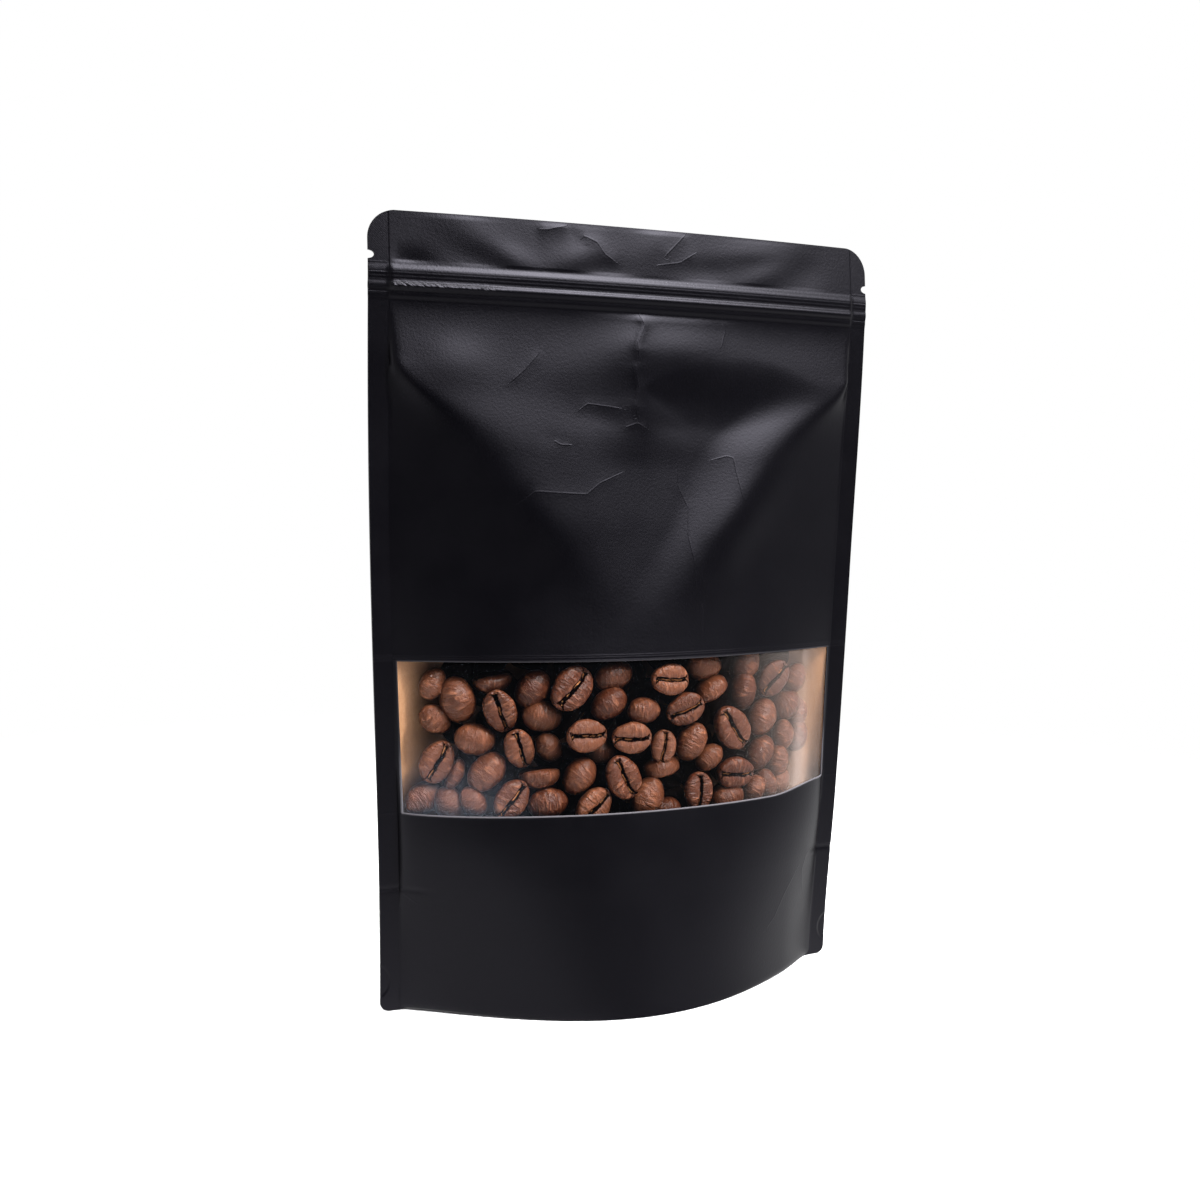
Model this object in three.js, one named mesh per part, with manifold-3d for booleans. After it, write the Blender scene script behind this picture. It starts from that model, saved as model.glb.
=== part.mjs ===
// A black stand-up pouch with a window, filled with roasted beans and pressed shut.
// Millimetres, +Z up. The base rests on z = 0, x = 0 is the middle, and the front faces -Y.

import * as THREE from "three";
import { mergeVertices } from "three/addons/utils/BufferGeometryUtils.js";
import Module from "manifold-3d";

const wasm = await Module();
wasm.setup();

// Flat size of the pouch and its seals
const pouchWidth = 140;
const pouchHeight = 200;
const sideSeal = 5;
const sealThickness = 0.7;
const topCornerRadius = 7;
const bottomCornerRadius = 2;
const fillNarrowing = 4.1; // each side pulls in by this much at the base, because the pouch is filled
const narrowingTop = 181;

// How far the front and the back stand out: a slope that eases in under the zip, a small step, the foot
const bulgeTop = 177;
const slope = 0.111;
const slopeEasing = 4;
const stepOut = 0.4;
const stepLow = 142;
const stepHigh = 158;
const fillBulge = 2.3;
const fillTop = 95; // beans push the panels out below this height
const crownShift = -2;
const baseFullness = 1.2; // 1 is a parabola across the pouch, less is squarer
const filledFullness = 0.7;
const upperFullness = 1.1;

// Flat triangle above the beans, where the front leans back to the zip
const facetBottom = 95;
const facetTop = 165;
const facetNarrow = 0.1;
const facetWide = 0.95;
const facetWidest = 0.985;
const facetRounding = 0.12;
const sealRounding = 0.015;

// Taut hollow at the right of the triangle, under the zip
const hollowLeft = 1;
const hollowRight = 61;
const hollowLevel = 158;
const hollowHalf = 9.5;
const hollowSlope = 0.14;
const hollowEdge = 13;

// Header bow and lean, and the right-hand bottom corner bending back
const headerBow = 5;
const headerBowFrom = 110;
const headerBowTop = 190;
const headerLean = 0.115;
const headerLeanFrom = 185;
const headerBowCentre = 8;
const headerBowHalf = 78;
const cornerBend = 2.6;
const cornerBendFrom = 45;
const cornerBendTop = 55;

// Press-to-close zip, which shows as ribs in the panels
const zipBottom = 178.2;
const zipBottomRamp = 1.4;
const zipTop = 187.2;
const zipTopRamp = 1.6;
const zipStep = 0.45;
const zipRib = 183.5;
const zipRibHalf = 0.95;
const zipRibStand = 0.5;
const zipFlattenedInSeal = 0.35;
const notchHeight = 189;
const notchDepth = 2;
const notchHalf = 0.9;

// Bottom gusset: the arch under the pouch
const gussetFold = 31;
const gussetSkirt = 0.8;
const bottomSeal = 3.5;
const gussetSealFrom = 38;
const gussetRestHalf = 22; // the gusset lies on the ground this far out from the middle
const gussetRestDepth = 0.45;
const gussetEnd = 60;
const belowGround = 5;

// Window
const windowBottom = 51.4;
const windowTop = 89.5;
const windowMargin = 6; // from the pouch's side edge
const bayDepth = 2; // the bay's back wall, behind the seals' plane
const bayWall = 0.6;
const filmThickness = 0.3;
const liningThickness = 0.3;
const gap = 0.3;

// Roasted beans
const beanLength = 11.6;
const beanWidth = 9.2;
const beanHeight = 6.4;
const flatShare = 0.32; // share of the height on the creased side
const creaseDepth = 0.9;
const beanPitch = 9.4;
const beanRowPitch = 7.6;
const beanInset = 3.4;
const beanSizeSpread = 0.16;

const clamp01 = (value) => Math.min(1, Math.max(0, value));
const mix = (a, b, share) => a + (b - a) * share;

function smoothstep(from, to, value) {
  const s = clamp01((value - from) / (to - from));
  return s * s * (3 - 2 * s);
}

function softMin(a, b, rounding) {
  return (a + b - Math.sqrt((a - b) ** 2 + rounding ** 2)) / 2;
}

// Half the pouch's width at a height, with the rounded corners
function halfWidth(z) {
  const down = clamp01((narrowingTop - z) / narrowingTop);
  const side = pouchWidth / 2 - fillNarrowing * smoothstep(0, 1, down ** 1.2);
  const intoTop = Math.max(0, z - (pouchHeight - topCornerRadius));
  const intoBottom = Math.max(0, bottomCornerRadius - z);
  const topCut = topCornerRadius - Math.sqrt(topCornerRadius ** 2 - intoTop ** 2);
  const bottomCut = bottomCornerRadius - Math.sqrt(bottomCornerRadius ** 2 - intoBottom ** 2);
  return side - topCut - bottomCut;
}

const sealInner = (z) => halfWidth(z) - sideSeal;

const bowShare = (z) => smoothstep(headerBowFrom, headerBowTop, z);

// Stand-out of a panel in the middle of the pouch
function crownBulge(z) {
  const down = Math.max(0, bulgeTop - z);
  const wedge = slope * (down - slopeEasing * (1 - Math.exp(-down / slopeEasing)));
  const bowed = headerBow * Math.max(0, bowShare(bulgeTop) - bowShare(z));
  const step = stepOut * (1 - smoothstep(stepLow, stepHigh, z));
  return wedge + bowed + step + fillBulge * clamp01(1 - z / fillTop) ** 1.4;
}

// Place across the pouch: 0 at the crown, -1 and 1 at the seals' inner edges
function across(x, z) {
  const inner = sealInner(z);
  const crown = crownShift * (1 - z / pouchHeight);
  return x > crown ? (x - crown) / (inner - crown) : (x - crown) / (inner + crown);
}

function roundSection(t, z) {
  const lower = mix(baseFullness, filledFullness, smoothstep(0, 45, z));
  return clamp01(1 - t * t) ** mix(lower, upperFullness, smoothstep(45, 95, z));
}

// How far across the flat triangle reaches, as a share of the way to the seals
function facetReach(z) {
  const up = clamp01((z - facetBottom) / (facetTop - facetBottom)) ** 1.2;
  const flat = mix(facetNarrow, facetWide, up * (1 + 0.1 * smoothstep(140, 160, z)));
  return Math.min(flat, facetWidest);
}

// Across the upper front: a flat middle that widens upwards, and straight flanks to the seals
function facetSection(t, z) {
  const flat = facetReach(z);
  const rounding = Math.max(facetRounding, sealRounding / (1 - flat));
  return Math.max(0, softMin(1, (1 - Math.abs(t)) / (1 - flat), rounding));
}

// The hollow starts sharp at its left end, and comes out again at the triangle's right edge
function hollow(x, z) {
  const along = clamp01((x - hollowLeft) / (hollowRight - hollowLeft));
  const half = hollowHalf * Math.max(0, Math.sin(Math.PI * along ** 0.75)) ** 0.8;
  const reach = Math.max(half, 0.5);
  const lowHalf = hollowHalf * smoothstep(-20, 20, x);
  const depth = mix(lowHalf, half, smoothstep(138, 156, z)) * hollowSlope * (4 / 3);
  const under = (1 - smoothstep(hollowLevel - reach, hollowLevel + reach, z)) * smoothstep(82, 142, z);
  const toEdge = (facetReach(z) - across(x, z)) * sealInner(z);
  return depth * under * smoothstep(0, hollowEdge, toEdge);
}

function frontBulge(x, z) {
  const t = across(x, z);
  const facetShare = smoothstep(facetBottom - 10, facetBottom + 35, z);
  return crownBulge(z) * mix(roundSection(t, z), facetSection(t, z), facetShare) - hollow(x, z);
}

function backBulge(x, z) {
  return crownBulge(z) * roundSection(across(x, z), z);
}

function zipRelief(x, z) {
  const low = smoothstep(zipBottom, zipBottom + zipBottomRamp, z);
  const high = 1 - smoothstep(zipTop - zipTopRamp, zipTop, z);
  const rib = Math.max(0, 1 - ((z - zipRib) / zipRibHalf) ** 2) ** 0.8;
  const relief = zipStep * low * high + zipRibStand * rib;
  return Math.abs(x) > sealInner(z) - 0.01 ? relief * zipFlattenedInSeal : relief;
}

// The middle surface between front and back, which is the seals' plane except where they bend
function middleY(x, z) {
  const bow = headerBow * bowShare(z) * (1 - ((x - headerBowCentre) / headerBowHalf) ** 2);
  const bend = smoothstep(cornerBendFrom, pouchWidth / 2, x) * (1 - smoothstep(0, cornerBendTop, z));
  return headerLean * Math.max(0, z - headerLeanFrom) - bow + cornerBend * bend;
}

const frontY = (x, z) => middleY(x, z) - sealThickness / 2 - frontBulge(x, z) - zipRelief(x, z);
const backY = (x, z) => middleY(x, z) + sealThickness / 2 + backBulge(x, z) + zipRelief(x, z);

// A closed mesh through a row of rings. Each ring runs one way along one side and back along the
// other, so its first half and second half face each other and close the ends as a strip.
function loft(rings) {
  const count = rings[0].length;
  const positions = rings.flat(2);
  const faces = [];
  const quad = (a, b, c, d) => faces.push(a, b, c, a, c, d);
  for (let row = 0; row < rings.length - 1; row++) {
    for (let i = 0; i < count; i++) {
      const j = (i + 1) % count;
      quad(row * count + i, row * count + j, (row + 1) * count + j, (row + 1) * count + i);
    }
  }
  const last = (rings.length - 1) * count;
  for (let i = 0; i < count / 2 - 1; i++) {
    const facing = count - 1 - i;
    quad(i, facing, facing - 1, i + 1);
    quad(last + i, last + i + 1, last + facing - 1, last + facing);
  }
  const geometry = new THREE.BufferGeometry();
  geometry.setAttribute("position", new THREE.Float32BufferAttribute(positions, 3));
  geometry.setIndex(faces);
  return geometry;
}

// A solid for joining and cutting, always with its faces outwards
function solidOf(geometry) {
  const bare = geometry.clone();
  for (const name of Object.keys(bare.attributes)) {
    if (name !== "position") bare.deleteAttribute(name);
  }
  const merged = mergeVertices(bare, 1e-4);
  const vertProperties = new Float32Array(merged.attributes.position.array);
  const triVerts = new Uint32Array(merged.index.array);
  const corner = (i) => new THREE.Vector3().fromArray(vertProperties, 3 * triVerts[i]);
  let volume = 0;
  for (let i = 0; i < triVerts.length; i += 3) {
    volume += corner(i).dot(corner(i + 1).cross(corner(i + 2)));
  }
  if (volume < 0) triVerts.reverse();
  return new wasm.Manifold(new wasm.Mesh({ numProp: 3, vertProperties, triVerts }));
}

function geometryOf(solid) {
  const mesh = solid.getMesh();
  const geometry = new THREE.BufferGeometry();
  geometry.setAttribute("position", new THREE.BufferAttribute(mesh.vertProperties, 3));
  geometry.setIndex(new THREE.BufferAttribute(mesh.triVerts, 1));
  geometry.computeVertexNormals();
  return geometry;
}

// Evenly spaced values, both ends included
function steps(from, to, count) {
  return Array.from({ length: count + 1 }, (_, i) => mix(from, to, i / count));
}

// A level ring: along the front from left to right, and along the back from right to left
function levelRing(z, stations, front, back) {
  const frontSide = stations.map((x) => [x, front(x, z), z]);
  const backSide = stations.map((x) => [x, back(x, z), z]).reverse();
  return [...frontSide, ...backSide];
}

function pouchRows() {
  const foot = [0, 0.6, bottomCornerRadius];
  const panel = steps(6, zipBottom - 1.5, 19);
  const strip = [zipBottom, zipBottom + zipBottomRamp, zipTop - zipTopRamp, zipTop];
  const zip = [...strip, ...steps(zipRib - zipRibHalf, zipRib + zipRibHalf, 4)];
  const header = [notchHeight, pouchHeight - topCornerRadius];
  const corner = steps(0.2, 1, 5).map((turn) => {
    return pouchHeight - topCornerRadius * (1 - Math.sin((turn * Math.PI) / 2));
  });
  return [...foot, ...panel, ...zip, ...header, ...corner].sort((a, b) => a - b);
}

function pouchStations(z) {
  const inner = sealInner(z);
  const panel = steps(-1, 1, 22).map((s) => inner * mix(s, Math.sin((s * Math.PI) / 2), 0.6));
  return [-halfWidth(z), ...panel, halfWidth(z)];
}

// The arch under the gusset: its sealed edge against the panels, and its fold in the middle
function gussetHeight(x, v) {
  const out = Math.abs(x);
  const sealed = clamp01((out - gussetSealFrom) / (gussetEnd + 2 - gussetSealFrom));
  const atPanel = bottomSeal + (gussetFold - bottomSeal) * sealed ** 1.15;
  const folded = clamp01((out - gussetRestHalf) / (gussetEnd + 2 - gussetRestHalf));
  const atFold = mix(-1, gussetFold, folded ** 1.5);
  const towardsPanel = clamp01((Math.abs(v) - gussetRestDepth) / (1 - gussetRestDepth));
  return mix(atFold, atPanel, towardsPanel ** 1.6);
}

function gussetRing(x) {
  const edge = gussetHeight(x, 1);
  const side = [-belowGround, 0, edge * 0.5];
  const inFront = (z) => Math.min(frontY(x, Math.max(0, z)) + gussetSkirt, middleY(x, 0) - 0.15);
  const inBack = (z) => Math.max(backY(x, Math.max(0, z)) - gussetSkirt, middleY(x, 0) + 0.15);
  const frontSide = side.map((z) => [x, inFront(z), z]);
  const backSide = side.map((z) => [x, inBack(z), z]).reverse();
  const arch = steps(-1, 1, 9).map((v) => {
    return [x, mix(inFront(edge), inBack(edge), (v + 1) / 2), gussetHeight(x, v)];
  });
  return [...frontSide, ...arch, ...backSide];
}

function notchCutter(side) {
  const reach = 3;
  const shape = new THREE.Shape();
  shape.moveTo(reach, -notchHalf * 1.6);
  shape.lineTo(-notchDepth + notchHalf, -notchHalf);
  shape.absarc(-notchDepth + notchHalf, 0, notchHalf, -Math.PI / 2, Math.PI / 2, true);
  shape.lineTo(reach, notchHalf * 1.6);
  const cutter = new THREE.ExtrudeGeometry(shape, { depth: 20, bevelEnabled: false, curveSegments: 5 });
  cutter.rotateX(Math.PI / 2);
  cutter.translate(0, 10, 0);
  if (side < 0) cutter.rotateZ(Math.PI);
  cutter.translate((side * pouchWidth) / 2, 0, notchHeight);
  return cutter;
}

// The window's bay: open at the front, with a back wall that follows the back panel at the ends
const bayBack = (x, z) => Math.min(backY(x, z) - bayWall, bayDepth);
const windowEnd = (z) => halfWidth(z) - windowMargin;

function windowStations(z, inset) {
  const end = windowEnd(z) - inset;
  return steps(-1, 1, 22).map((s) => end * mix(s, Math.sin((s * Math.PI) / 2), 0.6));
}

function windowLoft(bottom, top, inset, front, back) {
  const rings = steps(bottom, top, 5).map((z) => levelRing(z, windowStations(z, inset), front, back));
  return loft(rings);
}

function pouchGeometry() {
  const rings = pouchRows().map((z) => levelRing(z, pouchStations(z), frontY, backY));
  const bay = windowLoft(windowBottom, windowTop, 0, (x, z) => frontY(x, z) - 5, bayBack);
  const arch = loft(steps(-gussetEnd, gussetEnd, 24).map(gussetRing));
  let pouch = solidOf(loft(rings));
  pouch = pouch.subtract(solidOf(bay)).subtract(solidOf(arch));
  for (const side of [-1, 1]) {
    pouch = pouch.subtract(solidOf(notchCutter(side)));
  }
  return geometryOf(pouch);
}

function filmGeometry() {
  const inside = (x, z) => frontY(x, z) + filmThickness;
  return windowLoft(windowBottom + gap, windowTop - gap, gap, frontY, inside);
}

const liningFront = (x, z) => bayBack(x, z) - gap - liningThickness;

function liningGeometry() {
  const behind = (x, z) => bayBack(x, z) - gap;
  return windowLoft(windowBottom + gap, windowTop - gap, gap, liningFront, behind);
}

// One bean: a dome with a flat, creased side below, long along X
function beanGeometry() {
  const bean = new THREE.SphereGeometry(1, 7, 4);
  bean.rotateZ(Math.PI / 2);
  const place = bean.attributes.position;
  for (let i = 0; i < place.count; i++) {
    const x = place.getX(i);
    const y = place.getY(i);
    const z = place.getZ(i);
    const inCrease = z < 0 && Math.abs(y) < 0.1 && Math.abs(x) < 0.95;
    const flat = -flatShare * beanHeight * (-z) ** 0.6 + (inCrease ? creaseDepth : 0);
    const dome = (1 - flatShare) * beanHeight * z;
    place.setXYZ(i, (x * beanLength) / 2, (y * beanWidth) / 2, z < 0 ? flat : dome);
  }
  return bean;
}

// Seeded draws between 0 and 1
function seededRandom(seed) {
  let state = seed;
  return () => {
    state = (state * 16807) % 2147483647;
    return state / 2147483647;
  };
}

// Beans in staggered rows behind the film, some with the crease to the front and some on edge
function beanPlaces() {
  const random = seededRandom(417);
  const places = [];
  const middle = (windowBottom + windowTop) / 2;
  const reach = windowEnd(middle) - beanWidth / 2 - 1;
  for (const row of steps(-2, 2, 4)) {
    const z = middle + row * beanRowPitch;
    const shift = row % 2 === 0 ? 0 : beanPitch / 2;
    for (let x = -reach + shift; x <= reach; x += beanPitch) {
      const pose = random();
      places.push({
        x: x + (random() - 0.5) * 2,
        z: z + (random() - 0.5) * 2,
        turn: random() * Math.PI,
        roll: pose < 0.4 ? 0 : pose < 0.8 ? Math.PI : Math.PI / 2,
        scale: 1 + (random() - 0.5) * 2 * beanSizeSpread,
      });
    }
  }
  return places;
}

function heapGeometry() {
  const back = (x, z) => liningFront(x, z) - gap;
  const core = (x, z) => Math.min(frontY(x, z) + filmThickness + gap + beanInset, back(x, z) - 0.8);
  const behindFilm = (x, z) => Math.min(frontY(x, z) + filmThickness + gap, back(x, z) - 0.4);
  const bottom = windowBottom + gap;
  const top = windowTop - gap;
  const room = solidOf(windowLoft(bottom, top, beanWidth / 2 - 1, behindFilm, back));
  let heap = solidOf(windowLoft(bottom + 1, top - 1, beanWidth / 2, core, back));
  for (const place of beanPlaces()) {
    const bean = beanGeometry();
    bean.scale(place.scale, place.scale, place.scale);
    bean.rotateX(place.roll + Math.PI / 2);
    bean.rotateY(place.turn);
    bean.translate(place.x, core(place.x, place.z) - 0.3, place.z);
    heap = heap.add(solidOf(bean));
  }
  const pieces = heap.intersect(room).decompose();
  pieces.sort((a, b) => b.volume() - a.volume());
  return geometryOf(pieces[0]);
}

function addMesh(group, name, geometry, material) {
  const mesh = new THREE.Mesh(geometry, material);
  mesh.name = name;
  group.add(mesh);
}

const blackLaminate = new THREE.MeshStandardMaterial({ color: 0x18171b, roughness: 0.5, metalness: 0 });
const kraftPaper = new THREE.MeshStandardMaterial({ color: 0xb48a5e, roughness: 0.85, metalness: 0 });
const roastedBean = new THREE.MeshStandardMaterial({ color: 0x5a3320, roughness: 0.45, metalness: 0 });
const clearFilm = new THREE.MeshStandardMaterial({
  color: 0xf4f2ee,
  roughness: 0.12,
  metalness: 0,
  transparent: true,
  opacity: 0.25,
});

const windowPouch = new THREE.Group();
addMesh(windowPouch, "pouch", pouchGeometry(), blackLaminate);
addMesh(windowPouch, "kraft_lining", liningGeometry(), kraftPaper);
addMesh(windowPouch, "beans", heapGeometry(), roastedBean);
addMesh(windowPouch, "window_film", filmGeometry(), clearFilm);

export default windowPouch;
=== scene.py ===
import math
import random

import bpy
import numpy as np
from mathutils import Matrix, Vector, noise


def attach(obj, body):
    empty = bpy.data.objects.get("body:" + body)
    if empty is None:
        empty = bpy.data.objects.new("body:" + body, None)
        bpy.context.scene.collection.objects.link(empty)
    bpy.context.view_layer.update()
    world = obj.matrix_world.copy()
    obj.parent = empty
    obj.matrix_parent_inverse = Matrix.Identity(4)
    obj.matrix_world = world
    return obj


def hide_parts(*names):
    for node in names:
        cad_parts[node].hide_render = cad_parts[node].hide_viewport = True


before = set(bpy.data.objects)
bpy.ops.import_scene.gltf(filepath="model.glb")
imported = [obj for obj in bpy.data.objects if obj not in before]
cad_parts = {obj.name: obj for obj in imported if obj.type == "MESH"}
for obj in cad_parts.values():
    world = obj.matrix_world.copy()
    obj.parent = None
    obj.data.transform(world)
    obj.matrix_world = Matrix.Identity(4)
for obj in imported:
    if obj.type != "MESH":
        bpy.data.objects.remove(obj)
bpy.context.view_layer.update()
bpy.ops.object.select_all(action="DESELECT")
print("frame loaded")

mm = 0.001  # every form below is worked out in millimetres
farOff = 9.0  # stands for a distance where no fold, line or seal is near
creaseAngle = 50  # edges sharper than this, in degrees, aren't smoothed

form = {
    "width": 140, "height": 200, "sideSeal": 5, "sealThickness": 0.7,
    "topRadius": 7, "bottomRadius": 2, "narrowing": 4.1, "narrowingTop": 181, "narrowingPower": 1.2,
    # how far the middle stands out: a straight slope that eases in under the zip, a small step, the foot
    "slope": 0.111, "easing": 4, "bulgeTop": 177, "step": 0.4, "stepLow": 142, "stepHigh": 158,
    "fill": 2.3, "fillTop": 95, "fillPower": 1.4,
    # how full the section is at the foot, where the beans fill it and above them
    "crownShift": -2, "baseFullness": 1.2, "filledFullness": 0.7, "upperFullness": 1.1,
    "filledAt": 45, "upperAt": 95,
    # the V-shaped facet under the zip: its point, where it reaches the seals, its widths and its flare
    "facetBottom": 95, "facetTop": 165, "facetNarrow": 0.1, "facetWide": 0.95, "facetWidest": 1.008,
    "facetPower": 1.2, "facetFlare": 0.13, "flareFrom": 140, "flareTo": 160, "facetBlend": 0.06,
    "facetFadeFrom": 85, "facetFadeTo": 130,
    "facetRounding": 0.12, "upperRounding": 0.25, "roundingFrom": 120, "roundingTo": 155,
    "sealRounding": 0.006,
    # the header bows forward and leans back, and the right lower corner bends back
    "headerBow": 5, "bowFrom": 110, "bowTop": 190, "bowCentre": 8, "bowHalf": 78,
    "headerLean": 0.115, "leanFrom": 185,
    "cornerBend": 2.6, "bendFrom": 45, "bendTop": 55,
    "film": 0.25,  # thickness of one panel
}
zipLock = {
    "top": 187.2, "topRamp": 1.6, "bottom": 178.2, "bottomRamp": 1.4, "strip": 0.45,
    "rib": 181.7, "ribHalf": 1.05, "ribStand": 0.55, "ribPower": 0.8,
    "inSeal": 0.35, "sealEase": 0.5,
    # fine lines along the strip, and the twisted gloss of the rib near its left end
    "linedLow": (182.9, 183.2), "linedHigh": (185.1, 185.5), "twistEnd": (-42, -34), "twistHalf": 0.9,
}
notch = {"height": 189, "depth": 1.5, "half": 1.0}
window = {
    "bottom": 51.4, "top": 89.5, "margin": 6,
    "lift": 1.9, "liftFrom": 38, "liftTo": 57, "liftHalf": 6,
    "linesAbove": (1.6, 0.35), "lineBelow": 0.4,  # thin pressed lines along the opening
}


def blend(a, b, share):
    return a + (b - a) * share


def rise(low, high, value):
    s = np.clip((value - low) / (high - low), 0, 1)
    return s * s * (3 - 2 * s)


def bell(value, half):
    return np.exp(-((value / half) ** 2))


def roundCut(into, radius):
    into = np.clip(into, 0, radius)
    return radius - np.sqrt(radius ** 2 - into ** 2)


def sideEdge(z):
    down = np.clip((form["narrowingTop"] - z) / form["narrowingTop"], 0, 1)
    side = form["width"] / 2 - form["narrowing"] * rise(0, 1, down ** form["narrowingPower"])
    side = side - roundCut(z - (form["height"] - form["topRadius"]), form["topRadius"])
    return side - roundCut(form["bottomRadius"] - z, form["bottomRadius"])


def sealInner(z):
    return sideEdge(z) - form["sideSeal"]


def straightSeal(z):
    # the seal's inner edge runs straight up to the top, whatever the rounded corner does
    corner = form["height"] - form["topRadius"]
    return sealInner(np.clip(z, form["bottomRadius"], corner))


def bowShare(z):
    return rise(form["bowFrom"], form["bowTop"], z)


def crownBulge(z):
    down = np.clip(form["bulgeTop"] - z, 0, None)
    wedge = form["slope"] * (down - form["easing"] * (1 - np.exp(-down / form["easing"])))
    bowed = form["headerBow"] * np.clip(bowShare(form["bulgeTop"]) - bowShare(z), 0, None)
    step = form["step"] * (1 - rise(form["stepLow"], form["stepHigh"], z))
    return wedge + bowed + step + form["fill"] * np.clip(1 - z / form["fillTop"], 0, 1) ** form["fillPower"]


def across(x, z):
    inner = sealInner(z)
    crown = form["crownShift"] * (1 - z / form["height"])
    return np.where(x > crown, (x - crown) / (inner - crown), (x - crown) / (inner + crown))


def roundSection(t, z):
    fullness = blend(form["baseFullness"], form["filledFullness"], rise(0, form["filledAt"], z))
    fullness = blend(fullness, form["upperFullness"], rise(form["filledAt"], form["upperAt"], z))
    return np.clip(1 - t * t, 0, 1) ** fullness


def facetReach(z):
    # how far across the V-shaped facet reaches, as a share of the way to the seal
    up = np.clip((z - form["facetBottom"]) / (form["facetTop"] - form["facetBottom"]), 0, 1)
    flare = 1 + form["facetFlare"] * rise(form["flareFrom"], form["flareTo"], z)
    flat = blend(form["facetNarrow"], form["facetWide"], up ** form["facetPower"] * flare)
    widest = form["facetWidest"]
    return (flat + widest - np.sqrt((flat - widest) ** 2 + form["facetBlend"] ** 2)) / 2


def facetSection(t, z):
    flat = facetReach(z)
    flank = (1 - np.abs(t)) / (1 - flat)
    higher = rise(form["roundingFrom"], form["roundingTo"], z)
    rounding = form["facetRounding"] + form["upperRounding"] * higher
    rounding = np.maximum(rounding, form["sealRounding"] / (1 - flat))
    rounded = (1 + flank - np.sqrt((1 - flank) ** 2 + rounding ** 2)) / 2
    return np.maximum(0, rounded)


def zipRelief(x, z):
    low = rise(zipLock["bottom"], zipLock["bottom"] + zipLock["bottomRamp"], z)
    high = 1 - rise(zipLock["top"] - zipLock["topRamp"], zipLock["top"], z)
    rib = np.clip(1 - ((z - zipLock["rib"]) / zipLock["ribHalf"]) ** 2, 0, 1) ** zipLock["ribPower"]
    stand = zipLock["strip"] * low * high + zipLock["ribStand"] * rib
    sealed = rise(-zipLock["sealEase"], zipLock["sealEase"], np.abs(x) - sealInner(z))
    return stand * blend(1, zipLock["inSeal"], sealed)


def middleY(x, z):
    bow = form["headerBow"] * bowShare(z) * (1 - ((x - form["bowCentre"]) / form["bowHalf"]) ** 2)
    bend = rise(form["bendFrom"], form["width"] / 2, x) * (1 - rise(0, form["bendTop"], z))
    lean = form["headerLean"] * np.clip(z - form["leanFrom"], 0, None)
    return lean - bow + form["cornerBend"] * bend


def frontForm(x, z):
    t = across(x, z)
    facetShare = rise(form["facetFadeFrom"], form["facetFadeTo"], z)
    bulge = crownBulge(z) * blend(roundSection(t, z), facetSection(t, z), facetShare)
    return middleY(x, z) - form["sealThickness"] / 2 - bulge - zipRelief(x, z)


def backForm(x, z):
    bulge = crownBulge(z) * roundSection(across(x, z), z)
    return middleY(x, z) + form["sealThickness"] / 2 + bulge + zipRelief(x, z)


# soft swellings of the front: place across and up, half sizes, turn in degrees, stand-out;
# the back has them and the folds the other way round
swellings = [
    (-50, 164, 9, 6, 0, 0.4),  # under the zip, from left to right
    (-16, 163, 12, 7, 0, 0.25),
    (9, 169, 17, 7.5, 0, 0.95),
    (-4, 166, 10, 8, 0, 0.35),
    (40, 166, 20, 6, -3, 0.2),
    (3, 138, 10, 9, 0, -0.14),
    (27.5, 120.5, 22, 6.5, 53, 0.6),  # ridge along the right side of the V
    (-10.5, 151, 8, 3, -10, -0.11),  # thumb dents
    (8.5, 149.5, 8, 3, -8, -0.12),
    (-22, 144.5, 5, 2, -20, -0.06),
    (-60, 187.5, 5, 3, 0, -0.35),  # waves of the header
    (-45, 196, 9, 5, -30, 0.22),
    (-43, 189, 6, 3.5, -10, -0.2),
    (-34, 190, 6, 3, -20, 0.25),
    (-18, 191, 7, 3.5, 20, 0.35),
    (-9, 188.5, 7, 3, 0, -0.18),
    (4, 196, 7, 5, 50, 0.3),
    (19, 190, 8, 3, 0, -0.16),
    (33, 196, 12, 3, 4, 0.2),
    (37, 190.5, 8, 3, 20, 0.2),
    (50, 192, 6, 5, 30, -0.2),
]

# the taut eye-shaped facet at the right: where it starts and ends, its level, half height and slope;
# below it the surface stays hollow and comes out again towards the V's right edge
eye = {
    "left": 1, "right": 61, "power": 0.82, "half": 10, "slope": 0.14,
    "level": 159.5, "sag": 2, "sagAt": 20, "sagHalf": 12,
    "lowerFrom": 138, "lowerTo": 156, "lowerLeft": -20, "lowerRight": 20,
    "hollowFrom": 82, "hollowTo": 142,
    "edge": 17, "edgeGrowth": 0.5, "edgeFrom": 120, "edgeTo": 150,
}


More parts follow.
